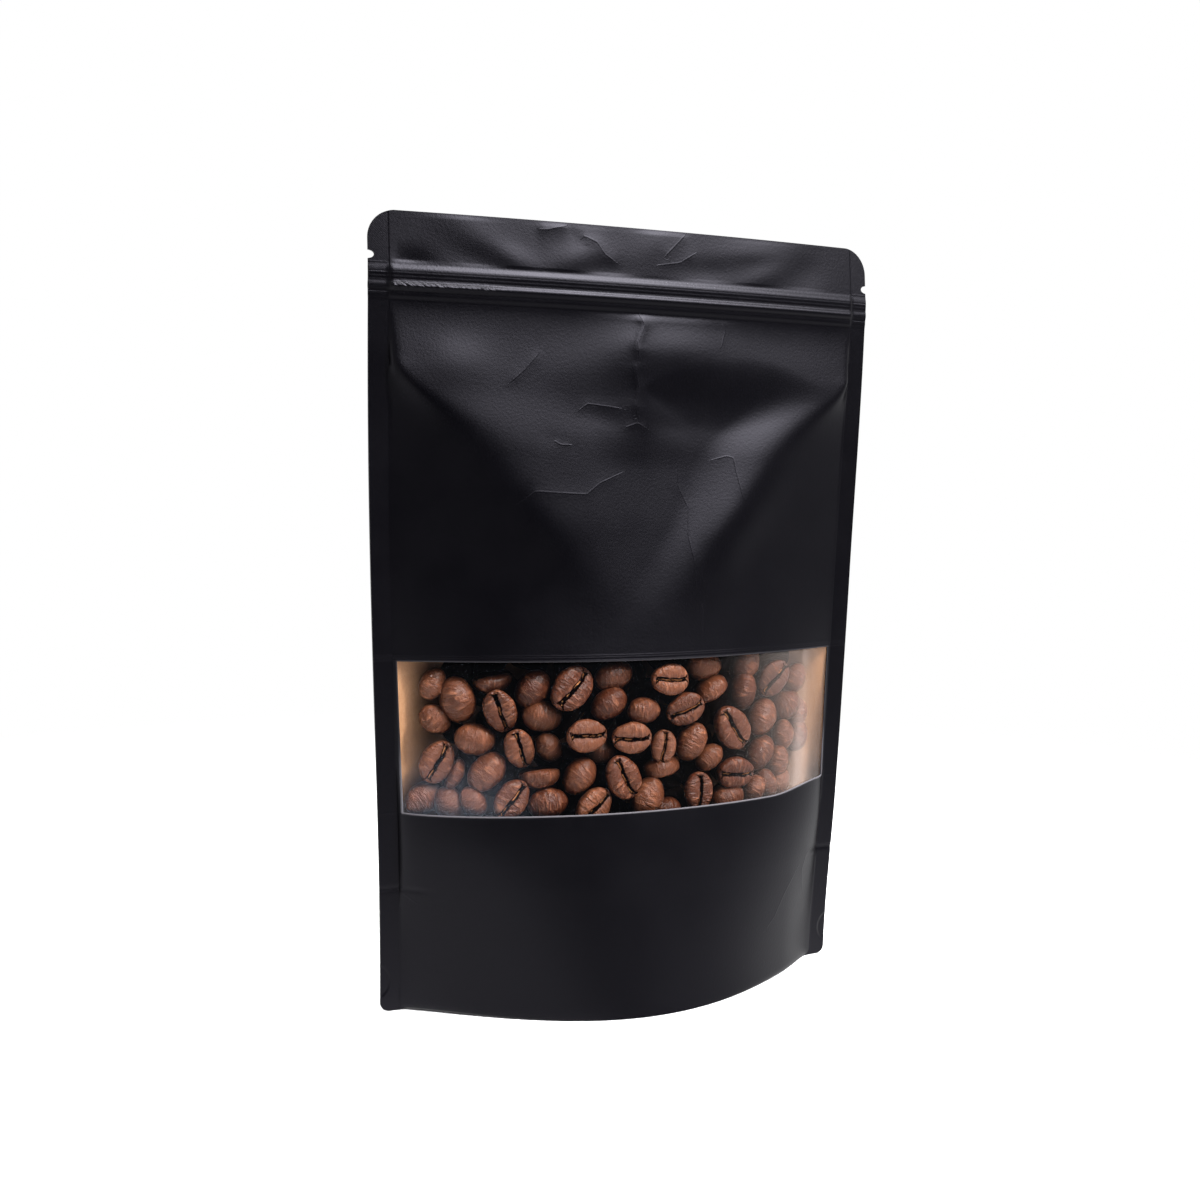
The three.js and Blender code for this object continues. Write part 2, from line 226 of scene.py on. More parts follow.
# sharp folds: points across and up, stand-out, reach of the fold's sides
folds = [
    ([(-0.9, 179.3), (1.2, 175.5), (-1.0, 170.5), (-0.6, 166)], 0.5, 2.0),
    ([(-0.6, 168), (-1.4, 163), (-0.6, 159), (-1.2, 155), (-1.0, 150.5)], 0.42, 1.6),
    ([(-4.7, 148.9), (-1.0, 150.2), (2.4, 148.5)], 0.12, 1.2),
    ([(-35.9, 158.7), (-31.4, 162.6), (-29, 165.2), (-26.8, 167.6)], 0.1, 1.3),
    ([(-18, 152.5), (-14.7, 154.7), (-4.7, 153.7)], 0.08, 1.3),
    ([(-24.6, 145.3), (-22.2, 144.1), (-19, 144.2)], 0.06, 1.2),
    ([(-34.2, 129), (-29.3, 132.4), (-20.9, 132), (-15.7, 131.8), (-12.1, 134.6), (-4.8, 137.8)], 0.07, 1.3),
    ([(10.7, 140.1), (10.4, 134.9), (13.3, 128.9), (13, 120.8), (14.3, 115.2), (14.8, 107.3)], 0.09, 1.3),
    ([(16.8, 103), (16.5, 94.5)], 0.04, 1.2),
    ([(19.6, 140.8), (25.3, 142.3), (27.1, 141.8), (27.7, 138.1), (29.5, 130.1)], 0.04, 1.2),
    ([(24.4, 180.7), (24.8, 174.8), (23.3, 170.2)], 0.05, 1.2),
    ([(13.7, 199.9), (6.3, 192.6)], 0.12, 2.4),
    ([(16.5, 195.1), (11.5, 192), (4.1, 190.7)], 0.12, 2.2),
    ([(-27.9, 197.8), (-25.3, 197.8), (-19.1, 199.4)], 0.25, 2.4),
    ([(-16.4, 195.7), (-15.2, 197), (-11.8, 195.6), (-9.7, 192.7), (-5.4, 190.1)], 0.2, 2.2),
    ([(-66.2, 32.4), (-61.3, 31.1), (-56.7, 27.6)], -0.1, 1.3),
    ([(57.6, 33.6), (53.9, 32.2), (52.2, 28), (53.3, 22.6), (55.6, 18.4)], 0.1, 1.3),
    ([(50.2, 29.9), (44.4, 23.3), (40.4, 17.5), (35.9, 14.1)], 0.06, 1.4),
]


def foldDistance(x, z, points):
    # nearest signed distance to a fold's line, and how far along it that is, 0 to 1
    best = np.full(x.shape, 1e9)
    side = np.zeros(x.shape)
    along = np.zeros(x.shape)
    lengths = [math.dist(a, b) for a, b in zip(points, points[1:])]
    passed = 0
    for (ax, az), (bx, bz), length in zip(points, points[1:], lengths):
        ux, uz = (bx - ax) / length, (bz - az) / length
        reach = np.clip((x - ax) * ux + (z - az) * uz, 0, length)
        dx, dz = x - ax - reach * ux, z - az - reach * uz
        distance = np.hypot(dx, dz)
        nearer = distance < best
        best = np.where(nearer, distance, best)
        side = np.where(nearer, np.sign(ux * dz - uz * dx), side)
        along = np.where(nearer, (passed + reach) / sum(lengths), along)
        passed += length
    return best * np.where(side == 0, 1, side), along


def eyeFacet(x, z):
    along = np.clip((x - eye["left"]) / (eye["right"] - eye["left"]), 0, 1)
    half = eye["half"] * np.sin(np.pi * along ** eye["power"])
    level = eye["level"] - eye["sag"] * bell(x - eye["sagAt"], eye["sagHalf"])
    reach = np.maximum(half, 0.5)
    below = eye["half"] * rise(eye["lowerLeft"], eye["lowerRight"], x)
    span = blend(below, half, rise(eye["lowerFrom"], eye["lowerTo"], z))
    depth = span * eye["slope"] * 4 / 3  # rise is steepest at three quarters of its height over its reach
    hollow = depth * (1 - rise(level - reach, level + reach, z)) * rise(eye["hollowFrom"], eye["hollowTo"], z)
    toEdge = (facetReach(z) - across(x, z)) * sealInner(z)
    edge = eye["edge"] * (1 + eye["edgeGrowth"] * rise(eye["edgeFrom"], eye["edgeTo"], z))
    return -hollow * rise(0, edge, toEdge)


# the side seals: lines pressed in beside the zip, and the groove across where the gusset's fold ends
pressed = {
    "lines": (187.3, 184.8, 181.2, 178.9),
    "groove": 31.6, "grooveHalf": 0.7, "grooveDepth": 0.22, "grooveInwards": (-9, -3),
}
foldEnds = {"fade": 4, "least": 0.15, "narrowest": 0.1}  # how a fold's ends fade and its line thins
# relief fades out beside the seals and below the top edge, and the zip holds it down
relief = {"besideSeal": 2.5, "belowTop": 1.5, "underZip": 1.5, "overZip": 1, "heldByZip": 0.8}


def nearerOf(a, b):
    return np.where(np.abs(a) < np.abs(b), a, b)


def reliefShare(x, z):
    inPanel = rise(0, relief["besideSeal"], sealInner(z) - np.abs(x))
    inPanel = inPanel * (1 - rise(form["height"] - relief["belowTop"], form["height"], z))
    aboveZip = rise(zipLock["top"], zipLock["top"] + relief["overZip"], z)
    inZip = rise(zipLock["bottom"] - relief["underZip"], zipLock["bottom"], z) * (1 - aboveZip)
    return inPanel * (1 - relief["heldByZip"] * inZip)


def softDetail(x, z):
    # stand-out of the swellings and folds, and the distance to the nearest fold
    out = np.zeros(x.shape)
    for cx, cz, halfX, halfZ, turn, stand in swellings:
        c, s = math.cos(math.radians(turn)), math.sin(math.radians(turn))
        u, v = (x - cx) * c + (z - cz) * s, (z - cz) * c - (x - cx) * s
        out = out + stand * bell(u, halfX) * bell(v, halfZ)
    nearest = np.full(x.shape, farOff)
    for points, stand, reach in folds:
        distance, along = foldDistance(x, z, points)
        fade = np.clip(foldEnds["fade"] * np.minimum(along, 1 - along) + foldEnds["least"], 0, 1)
        out = out + stand * np.exp(-np.abs(distance) / reach) * fade
        nearest = nearerOf(distance / np.maximum(fade, foldEnds["narrowest"]), nearest)
    intoSeal = np.abs(x) - sealInner(z)
    for height in pressed["lines"]:
        nearest = nearerOf(np.where(intoSeal > 0, z - height, farOff), nearest)
    groove = pressed["grooveDepth"] * bell(z - pressed["groove"], pressed["grooveHalf"])
    groove = groove * rise(*pressed["grooveInwards"], intoSeal)
    return out * reliefShare(x, z) - groove, nearest


def frontDetail(x, z):
    out, nearest = softDetail(x, z)
    heights = [window["top"] + gap for gap in window["linesAbove"]]
    for height in heights + [window["bottom"] - window["lineBelow"]]:
        nearest = nearerOf(z - height, nearest)
    return out + eyeFacet(x, z) * reliefShare(x, z), nearest


def frontSurface(x, z):
    return frontForm(x, z) - frontDetail(x, z)[0]


def windowLift(x, z):
    # the window's lower edge turns up at its right end
    lift = window["lift"] * rise(window["liftFrom"], window["liftTo"], x)
    return z + lift * bell(z - window["bottom"], window["liftHalf"])


def steps(low, high, spacing):
    count = max(1, round((high - low) / spacing))
    return [low + (high - low) * i / count for i in range(count + 1)]


def rowList(*spans, closest=0.04):
    # heights from several spans (low, high, spacing), sorted, without near doubles
    heights = sorted(height for span in spans for height in steps(*span))
    kept = [heights[0]]
    for height in heights[1:]:
        if height - kept[-1] > closest:
            kept.append(height)
    return kept


def onlySelected(piece):
    bpy.ops.object.select_all(action="DESELECT")
    bpy.context.view_layer.objects.active = piece
    piece.select_set(True)


def coordinates(piece):
    flat = np.zeros(len(piece.data.vertices) * 3)
    piece.data.vertices.foreach_get("co", flat)
    return flat.reshape(-1, 3)


def gridSheet(name, rows, columnsAt, place):
    # a grid primitive laid on a surface: rows are heights, columnsAt(z) gives the places across
    last = len(columnsAt(rows[0])) - 1
    bpy.ops.mesh.primitive_grid_add(x_subdivisions=last, y_subdivisions=len(rows) - 1, size=2)
    sheet = bpy.context.object
    sheet.name = sheet.data.name = name
    flat = coordinates(sheet)
    column = np.rint((flat[:, 0] + 1) / 2 * last).astype(int)
    row = np.rint((flat[:, 1] + 1) / 2 * (len(rows) - 1)).astype(int)
    z = np.array(rows)[row]
    x = np.array([columnsAt(height) for height in rows])[row, column]
    points = place(x, z)
    sheet.data.vertices.foreach_set("co", (points * mm).ravel())
    sheet.data.update()
    return sheet, x, z


def keepNumber(piece, name, values):
    layer = piece.data.attributes.new(name, "FLOAT", "POINT")
    layer.data.foreach_set("value", np.asarray(values, np.float32))


def deleteFaces(piece, goes):
    onlySelected(piece)
    bpy.ops.object.mode_set(mode="EDIT")
    bpy.ops.mesh.select_mode(type="FACE")
    bpy.ops.mesh.select_all(action="DESELECT")
    bpy.ops.object.mode_set(mode="OBJECT")
    centres = np.zeros(len(piece.data.polygons) * 3)
    piece.data.polygons.foreach_get("center", centres)
    piece.data.polygons.foreach_set("select", goes(centres.reshape(-1, 3) / mm))
    bpy.ops.object.mode_set(mode="EDIT")
    bpy.ops.mesh.delete(type="FACE")
    bpy.ops.object.mode_set(mode="OBJECT")


def applyModifier(piece, kind, **values):
    modifier = piece.modifiers.new(kind.title(), kind)
    for key, value in values.items():
        setattr(modifier, key, value)
    onlySelected(piece)
    bpy.ops.object.modifier_apply(modifier=modifier.name)


def facing(piece, direction):
    # turns an open sheet's faces towards a direction before it gets its thickness
    total = Vector((0, 0, 0))
    for polygon in piece.data.polygons:
        total += polygon.normal * polygon.area
    if total.dot(Vector(direction)) < 0:
        onlySelected(piece)
        bpy.ops.object.mode_set(mode="EDIT")
        bpy.ops.mesh.select_all(action="SELECT")
        bpy.ops.mesh.flip_normals()
        bpy.ops.object.mode_set(mode="OBJECT")


def smooth(piece, angle=creaseAngle):
    onlySelected(piece)
    bpy.ops.object.shade_smooth_by_angle(angle=math.radians(angle))


def seat(piece, node, material):
    piece.data.materials.clear()
    piece.data.materials.append(material)
    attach(piece, "root")
    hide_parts(node)


class Wiring:
    # adds nodes to a tree and joins them; a value may be a number, a colour or another node's socket
    def __init__(self, tree):
        self.tree = tree

    def put(self, socket, value):
        if isinstance(value, bpy.types.NodeSocket):
            self.tree.links.new(value, socket)
        else:
            socket.default_value = value

    def add(self, kind, inputs=None, **settings):
        node = self.tree.nodes.new(kind)
        for key, value in settings.items():
            setattr(node, key, value)
        for key, value in (inputs or {}).items():
            self.put(node.inputs[key], value)
        return node

    def math(self, how, a, b=0.0):
        return self.add("ShaderNodeMath", {0: a, 1: b}, operation=how).outputs[0]

    def ramp(self, value, low, high, outLow=0.0, outHigh=1.0):
        node = self.add("ShaderNodeMapRange", {0: value, 1: low, 2: high, 3: outLow, 4: outHigh})
        node.interpolation_type = "SMOOTHSTEP"
        return node.outputs[0]

    def mixColour(self, share, a, b):
        node = self.add("ShaderNodeMix", data_type="RGBA")
        self.put(node.inputs[0], share)
        self.put(node.inputs[6], a)
        self.put(node.inputs[7], b)
        return node.outputs[2]

    def scaled(self, vector, scale):
        return self.add("ShaderNodeMapping", {"Vector": vector, "Scale": scale}).outputs[0]

    def noise(self, vector, scale, detail=3.0, roughness=0.5, distortion=0.0):
        node = self.add("ShaderNodeTexNoise", {
            "Vector": vector, "Scale": scale, "Detail": detail,
            "Roughness": roughness, "Distortion": distortion,
        })
        return node.outputs[0]

    def number(self, name):
        return self.add("ShaderNodeAttribute", attribute_name=name).outputs["Fac"]


def newMaterial(name):
    material = bpy.data.materials.new(name)
    material.use_nodes = True
    material.node_tree.nodes.clear()
    return material, Wiring(material.node_tree)


def newGroup(name, inputs, outputs):
    group = bpy.data.node_groups.new(name, "ShaderNodeTree")
    for label, kind, value in inputs:
        socket = group.interface.new_socket(label, in_out="INPUT", socket_type=kind)
        if value is not None:
            socket.default_value = value
    for label, kind in outputs:
        group.interface.new_socket(label, in_out="OUTPUT", socket_type=kind)
    return group, Wiring(group)


# fine grain of a surface: a height for bump and a soft mottling mask
def makeGrainGroup():
    group, wire = newGroup("surfaceGrain", [
        ("Vector", "NodeSocketVector", None),
        ("Grain Scale", "NodeSocketFloat", 1500.0),
        ("Mottle Scale", "NodeSocketFloat", 60.0),
    ], [("Height", "NodeSocketFloat"), ("Mottle", "NodeSocketFloat")])
    given = wire.add("NodeGroupInput").outputs
    fine = wire.noise(given["Vector"], given["Grain Scale"], 3.0, 0.6)
    soft = wire.noise(given["Vector"], given["Mottle Scale"], 4.0, 0.55)
    out = wire.add("NodeGroupOutput")
    wire.put(out.inputs["Height"], fine)
    wire.put(out.inputs["Mottle"], soft)
    return group


grainGroup = makeGrainGroup()

laminate = {
    "colour": (0.0004, 0.0003, 0.0010, 1), "paleFold": (0.008, 0.0072, 0.010, 1), "tint": (0.88, 0.85, 1.0, 1),
    "paleFoldShare": 0.06, "roughness": 0.3, "smoother": 0.02, "rougher": 0.03,
    # relief, in metres from here on
    "grainDepth": 0.00003, "foldDepth": 0.000026, "weaveDepth": 0.000006, "stepDepth": 0.00005,
    "zipDepth": 0.000012, "twistDepth": 0.0004, "punchDepth": 0.00022,
    "weavePeriod": 0.0006, "linePeriod": 0.0009, "twistSlant": 1.3, "twistScale": 620.0,
    # the panel steps down to the seal above the corners where the gusset is sealed in
    "stepFrom": 0.028, "stepTo": 0.034,
    # these in millimetres: where that step and the fine mesh begin at the seal, and how the cut edge fades
    "stepEdge": (-0.3, 0.15), "weaveEdge": (0.1, 0.4), "rimEdge": (0.12, 0.5),
    # a half-round punch mark at each lower corner, where the gusset's sides are joined
    "punchAt": 0.0682, "punchHeight": 0.0078, "punchRadius": 0.0047, "punchEdge": 0.0004,
    # the window's cut edge: its pale colour is painted highlight, standing for light caught on the edge,
    # brighter along its lower part
    "rimHighlight": (0.17, 0.16, 0.175, 1), "rimFrom": 0.06, "rimTo": 0.07, "rimLower": 0.75, "rimUpper": 0.12,
}
foldHalf = 0.2  # half width of a fold's sharp line, in millimetres


def bellOf(wire, value, half):
    # 1 where the value is 0, fading within half
    squared = wire.math("POWER", value, 2.0)
    return wire.math("POWER", math.e, wire.math("MULTIPLY", squared, -1 / half ** 2))


def waves(wire, value, period):
    return wire.math("SINE", wire.math("MULTIPLY", value, 2 * math.pi / period))


def punchMarks(wire, parts):
    fromEdge = wire.math("SUBTRACT", wire.math("ABSOLUTE", parts["X"]), laminate["punchAt"])
    above = wire.math("SUBTRACT", parts["Z"], laminate["punchHeight"])
    fromCentre = wire.math("SQRT", wire.math("ADD", wire.math("POWER", fromEdge, 2.0),
                                             wire.math("POWER", above, 2.0)))
    fromRim = wire.math("SUBTRACT", fromCentre, laminate["punchRadius"])
    return wire.ramp(fromRim, -laminate["punchEdge"], laminate["punchEdge"], 1.0, 0.0)


def sealStep(wire, parts, sealSide):
    aboveCorner = wire.ramp(parts["Z"], laminate["stepFrom"], laminate["stepTo"])
    return wire.math("MULTIPLY", wire.ramp(sealSide, *laminate["stepEdge"], 1.0, 0.0), aboveCorner)


def sealWeave(wire, parts, sealSide):
    mesh = wire.math("MULTIPLY", waves(wire, parts["X"], laminate["weavePeriod"]),
                     waves(wire, parts["Z"], laminate["weavePeriod"]))
    return wire.math("MULTIPLY", mesh, wire.ramp(sealSide, *laminate["weaveEdge"]))


def twistedRib(wire, parts):
    slant = wire.math("ADD", parts["X"], wire.math("MULTIPLY", parts["Z"], laminate["twistSlant"]))
    slanted = wire.add("ShaderNodeCombineXYZ", {"X": slant, "Y": 0.0, "Z": 0.0}).outputs[0]
    return wire.math("MULTIPLY", wire.noise(slanted, laminate["twistScale"], 2.0), wire.number("zipRib"))


def laminateColour(wire, parts, onFold):
    # fold lines are coloured slightly paler than the rest of the panel
    paleFoldShare = wire.math("MULTIPLY", onFold, laminate["paleFoldShare"])
    colour = wire.mixColour(paleFoldShare, laminate["colour"], laminate["paleFold"])
    # painted highlight along the window's cut edge, brighter along its lower part
    rimHighlight = wire.ramp(wire.number("rimLine"), *laminate["rimEdge"], 1.0, 0.0)
    rimHighlightStrength = wire.ramp(parts["Z"], laminate["rimFrom"], laminate["rimTo"],
                        laminate["rimLower"], laminate["rimUpper"])
    return wire.mixColour(wire.math("MULTIPLY", rimHighlight, rimHighlightStrength), colour, laminate["rimHighlight"])


def blackLaminate():
    material, wire = newMaterial("black_laminate")
    place = wire.add("ShaderNodeTexCoord").outputs["Object"]
    grain = wire.add("ShaderNodeGroup", node_tree=grainGroup)
    wire.put(grain.inputs["Vector"], place)
    onFold = bellOf(wire, wire.number("foldLine"), foldHalf)
    onFold = wire.math("MULTIPLY", onFold, wire.number("foldNear"))
    sealSide = wire.number("sealSide")  # millimetres into the side seal
    parts = wire.add("ShaderNodeSeparateXYZ", {0: place}).outputs
    lines = wire.math("MULTIPLY", waves(wire, parts["Z"], laminate["linePeriod"]), wire.number("zipStrip"))
    punched = wire.math("MULTIPLY", punchMarks(wire, parts), -1.0)
    colour = laminateColour(wire, parts, onFold)
    roughness = wire.ramp(grain.outputs["Mottle"], 0.3, 0.7, laminate["roughness"] - laminate["smoother"],
                          laminate["roughness"] + laminate["rougher"])
    normal = None
    for height, depth in ((grain.outputs["Height"], "grainDepth"), (onFold, "foldDepth"),
                          (sealWeave(wire, parts, sealSide), "weaveDepth"),
                          (sealStep(wire, parts, sealSide), "stepDepth"), (lines, "zipDepth"),
                          (punched, "punchDepth"), (twistedRib(wire, parts), "twistDepth")):
        bump = wire.add("ShaderNodeBump", {"Height": height, "Distance": laminate[depth], "Strength": 1.0})
        if normal is not None:
            wire.put(bump.inputs["Normal"], normal)
        normal = bump.outputs[0]
    shader = wire.add("ShaderNodeBsdfPrincipled", {
        "Base Color": colour, "Roughness": roughness, "Normal": normal,
    })
    shader.inputs["Specular Tint"].default_value = laminate["tint"]
    out = wire.add("ShaderNodeOutputMaterial")
    wire.put(out.inputs["Surface"], shader.outputs[0])
    return material


kraft = {
    "deep": (0.33, 0.165, 0.080, 1), "pale": (0.41, 0.22, 0.112, 1), "blotch": (0.28, 0.13, 0.06, 1),
    "shade": (0.055, 0.022, 0.008, 1), "shadeFrom": 0.053, "shadeTo": 0.0635, "shadeShare": 0.85,
    "fibreScale": 2600.0, "blotchScale": 120.0, "blotchShare": 0.25,
    "roughness": 0.8, "fibreDepth": 0.00003,
}


def kraftPaper():
    # plain paper with fine fibres, darker in the shade of the beans
    material, wire = newMaterial("kraft_paper")
    place = wire.add("ShaderNodeTexCoord").outputs["Object"]
    fibres = wire.noise(wire.scaled(place, (1, 1, 0.35)), kraft["fibreScale"], 4.0, 0.65, 0.4)
    soft = wire.noise(place, kraft["blotchScale"], 3.0)
    colour = wire.mixColour(wire.ramp(fibres, 0.25, 0.75), kraft["deep"], kraft["pale"])
    colour = wire.mixColour(wire.ramp(soft, 0.3, 0.7, 0.0, kraft["blotchShare"]), colour, kraft["blotch"])
    fromMiddle = wire.math("ABSOLUTE", wire.add("ShaderNodeSeparateXYZ", {0: place}).outputs["X"])
    shade = wire.ramp(fromMiddle, kraft["shadeFrom"], kraft["shadeTo"], kraft["shadeShare"], 0.0)
    colour = wire.mixColour(shade, colour, kraft["shade"])
    bump = wire.add("ShaderNodeBump", {"Height": fibres, "Distance": kraft["fibreDepth"], "Strength": 1.0})
    shader = wire.add("ShaderNodeBsdfPrincipled", {
        "Base Color": colour, "Roughness": kraft["roughness"], "Normal": bump.outputs[0],
    })
    out = wire.add("ShaderNodeOutputMaterial")
    wire.put(out.inputs["Surface"], shader.outputs[0])
    return material


filmLook = {
    "roughness": 0.16, "gloss": 0.08, "ior": 1.4,
    "hazeAndReflectionColour": (0.60, 0.66, 0.82, 1), "warmHazeAndReflection": (0.86, 0.71, 0.65, 1), "hazeRoughness": 0.6,
    "leastVeil": 0.001, "softScale": 40.0, "softVeil": (0.75, 1.25),
    # the painted reflection over the right third, and the one at the lower left
    "rightFrom": 0.018, "rightTo": 0.055, "rightEnd": 0.061, "rightReflection": 0.03, "endReflection": 0.008,
    "leftFrom": -0.024, "leftTo": -0.054, "leftTop": 0.074, "leftBottom": 0.050, "leftReflection": 0.026,
    # the painted reflection streak from the upper right corner down: where it starts, its lean, half width
    # and strength
    "streakTop": 0.0888, "streakAt": 0.0535, "streakLean": -0.13, "streakHalf": 0.0012, "streakGrowth": 0.07,
    "streakFrom": 0.002, "streakTo": 0.036, "upperStreak": 0.025, "lowerStreak": 0.085,
}


def clearFilm():
    # see-through, mirrored by its angle, with a milky veil at the lower left and over the right third; that
    # veil and the streak are painted reflection, with only a faint even haze of the film's own
    material, wire = newMaterial("clear_film")
    place = wire.add("ShaderNodeTexCoord").outputs["Object"]
    parts = wire.add("ShaderNodeSeparateXYZ", {0: place}).outputs
    x, z = parts["X"], parts["Z"]
    look = filmLook
    soft = wire.noise(wire.scaled(place, (1, 1, 0.5)), look["softScale"], 2.0)
    # painted reflection: the veils over the right third and at the lower left and the streak stand for light
    # mirrored in the film; leastVeil alone is an even haze
    right = wire.math("MULTIPLY", wire.ramp(x, look["rightFrom"], look["rightTo"]),
                      wire.ramp(x, look["rightTo"], look["rightEnd"], look["rightReflection"], look["endReflection"]))
    left = wire.math("MULTIPLY", wire.ramp(x, look["leftFrom"], look["leftTo"]),
                     wire.ramp(z, look["leftTop"], look["leftBottom"], 0.0, look["leftReflection"]))
    down = wire.math("SUBTRACT", look["streakTop"], z)
    middle = wire.math("ADD", look["streakAt"], wire.math("MULTIPLY", down, look["streakLean"]))
    half = wire.math("ADD", look["streakHalf"], wire.math("MULTIPLY", down, look["streakGrowth"]))
    fromStreak = wire.math("DIVIDE", wire.math("SUBTRACT", x, middle), half)
    strength = wire.ramp(down, look["streakFrom"], look["streakTo"], look["upperStreak"], look["lowerStreak"])
    streak = wire.math("MULTIPLY", bellOf(wire, fromStreak, 1.0), strength)
    hazeAndReflection = wire.math("ADD", wire.math("ADD", right, left), wire.math("ADD", streak, look["leastVeil"]))
    hazeAndReflection = wire.math("MULTIPLY", hazeAndReflection, wire.ramp(soft, 0.2, 0.8, *look["softVeil"]))
    clear = wire.add("ShaderNodeBsdfTransparent")
    mirror = wire.add("ShaderNodeBsdfPrincipled", {
        "Base Color": (1, 1, 1, 1), "Metallic": 1.0, "Roughness": look["roughness"],
    })
    hazeAndReflectionColour = wire.mixColour(wire.ramp(x, 0.0, 0.04), look["hazeAndReflectionColour"], look["warmHazeAndReflection"])
    hazeAndReflectionShader = wire.add("ShaderNodeBsdfPrincipled", {"Base Color": hazeAndReflectionColour, "Roughness": look["hazeRoughness"]})
    angle = wire.add("ShaderNodeFresnel", {"IOR": look["ior"]}).outputs[0]
    angle = wire.math("MULTIPLY", angle, look["gloss"])
    glossy = wire.add("ShaderNodeMixShader", {0: angle, 1: clear.outputs[0], 2: mirror.outputs[0]})
    film = wire.add("ShaderNodeMixShader", {0: hazeAndReflection, 1: glossy.outputs[0], 2: hazeAndReflectionShader.outputs[0]})
    out = wire.add("ShaderNodeOutputMaterial")
    wire.put(out.inputs["Surface"], film.outputs[0])
    return material


roast = {
    "dark": (0.058, 0.0135, 0.0045, 1), "light": (0.132, 0.042, 0.018, 1), "ridgeHighlight": (0.33, 0.125, 0.062, 1),
    "crackShade": (0.0012, 0.0006, 0.0005, 1), "skin": (0.60, 0.27, 0.11, 1), "shade": (0.0012, 0.0006, 0.0005, 1),
    "shine": 0.6, "roughness": 0.3, "wrinkleDepth": 0.0006, "poreShare": 0.3, "raggedness": 0.8,
    "ridgeHighlightShare": 0.7, "patchShare": 0.45,
    # from here on in millimetres from the crease: where the crack's painted shade ends and the torn skin
    # shows
    "crackOut": 0.62, "crackIn": 0.5, "skinOut": 0.2, "skinIn": 0.12,
    # noise scales, per millimetre
    "wrinkleScale": 0.9, "poreScale": 2.6, "patchScale": 0.3, "raggedScale": 1.7, "tornScale": 0.5,
}


def roastedBean():
    # lengths here are millimetres on the bean itself
    material, wire = newMaterial("roasted_bean")
    place = wire.add("ShaderNodeAttribute", attribute_name="beanPlace").outputs["Vector"]
    wrinkle = wire.noise(wire.scaled(place, (1.3, 0.4, 0.4)), roast["wrinkleScale"], 2.0, 0.5, 0.7)
    pores = wire.noise(place, roast["poreScale"], 1.0, 0.5)
    patches = wire.noise(place, roast["patchScale"], 2.0)
    base = wire.mixColour(wire.number("beanTone"), roast["dark"], roast["light"])
    # painted highlight: the tops of the wrinkles are coloured lighter
    colour = wire.mixColour(wire.ramp(wrinkle, 0.5, 0.8, 0.0, roast["ridgeHighlightShare"]), base, roast["ridgeHighlight"])
    colour = wire.mixColour(wire.ramp(patches, 0.6, 0.3, 0.0, roast["patchShare"]), colour, roast["dark"])
    ragged = wire.math("SUBTRACT", wire.noise(place, roast["raggedScale"], 3.0, 0.65), 0.5)
    ragged = wire.math("MULTIPLY", ragged, roast["raggedness"])
    crease = wire.number("creaseSide")
    # painted shade: the crack along the crease is coloured near black and loses its gloss, standing for the
    # shadow deep in the groove
    inCrackShade = wire.ramp(wire.math("ADD", crease, ragged), roast["crackOut"], roast["crackIn"])
    colour = wire.mixColour(inCrackShade, colour, roast["crackShade"])
    torn = wire.ramp(wire.noise(place, roast["tornScale"], 2.0), 0.46, 0.54)
    skin = wire.math("MULTIPLY", wire.ramp(crease, roast["skinOut"], roast["skinIn"]), torn)
    colour = wire.mixColour(skin, colour, roast["skin"])
    # painted shade: beans deeper behind the film are darkened towards the near-black shade colour and lose
    # gloss and wrinkles
    lit = wire.math("SUBTRACT", 1.0, wire.number("beanDepthShade"))
    colour = wire.mixColour(lit, roast["shade"], colour)
    height = wire.math("ADD", wrinkle, wire.math("MULTIPLY", pores, roast["poreShare"]))
    bump = wire.add("ShaderNodeBump", {
        "Height": wire.math("MULTIPLY", height, lit), "Distance": roast["wrinkleDepth"], "Strength": 1.0,
    })
    outside = wire.math("MULTIPLY", lit, wire.math("SUBTRACT", 1.0, inCrackShade))
    shader = wire.add("ShaderNodeBsdfPrincipled", {
        "Base Color": colour, "Roughness": roast["roughness"], "Normal": bump.outputs[0],
        "Specular IOR Level": wire.math("MULTIPLY", outside, roast["shine"]),
    })
    out = wire.add("ShaderNodeOutputMaterial")
    wire.put(out.inputs["Surface"], shader.outputs[0])
    return material


laminateMaterial = blackLaminate()
kraftMaterial = kraftPaper()
filmMaterial = clearFilm()
beanMaterial = roastedBean()
print("materials made")

panel = {
    # how closely the grids' columns and rows lie
    "spacing": 0.78, "upperRow": 0.68, "lowerRow": 1.2, "headerRow": 0.7,
    "backSpacing": 1.4, "backRow": 1.2, "backHeaderRow": 1,
    "sealColumns": [0.35, 0.8, 1.5, 2.3, 3.1, 3.9, 4.5, 5.0], "besideSeal": 5.5,  # inwards from the edge
    "backRelief": 0.8,  # how strongly the back shows the swellings and folds
    "foldMost": 1.4, "foldLeast": 0.9,  # beyond the first a fold's line can't show
}


def edgeWithNotch(z):
    cut = notch["depth"] * np.sqrt(np.clip(1 - ((z - notch["height"]) / notch["half"]) ** 2, 0, 1))
    return sideEdge(z) - cut


def panelColumns(spacing):
    count = round(2 * (form["width"] / 2 - window["margin"]) / spacing)

    def at(z):
        edge, plain = float(edgeWithNotch(z)), float(sideEdge(z))
        stretch = (edge - plain + form["sideSeal"]) / form["sideSeal"]
        reach = plain - window["margin"]
        side = [edge] + [edge - inwards * stretch for inwards in panel["sealColumns"]]
        side += [plain - panel["besideSeal"], reach]
        middle = [-reach + 2 * reach * i / count for i in range(1, count)]
        return [-x for x in side] + middle + side[::-1]
    return at


def cornerHeight(angle):
    return form["height"] - form["topRadius"] * (1 - math.sin(math.radians(angle)))


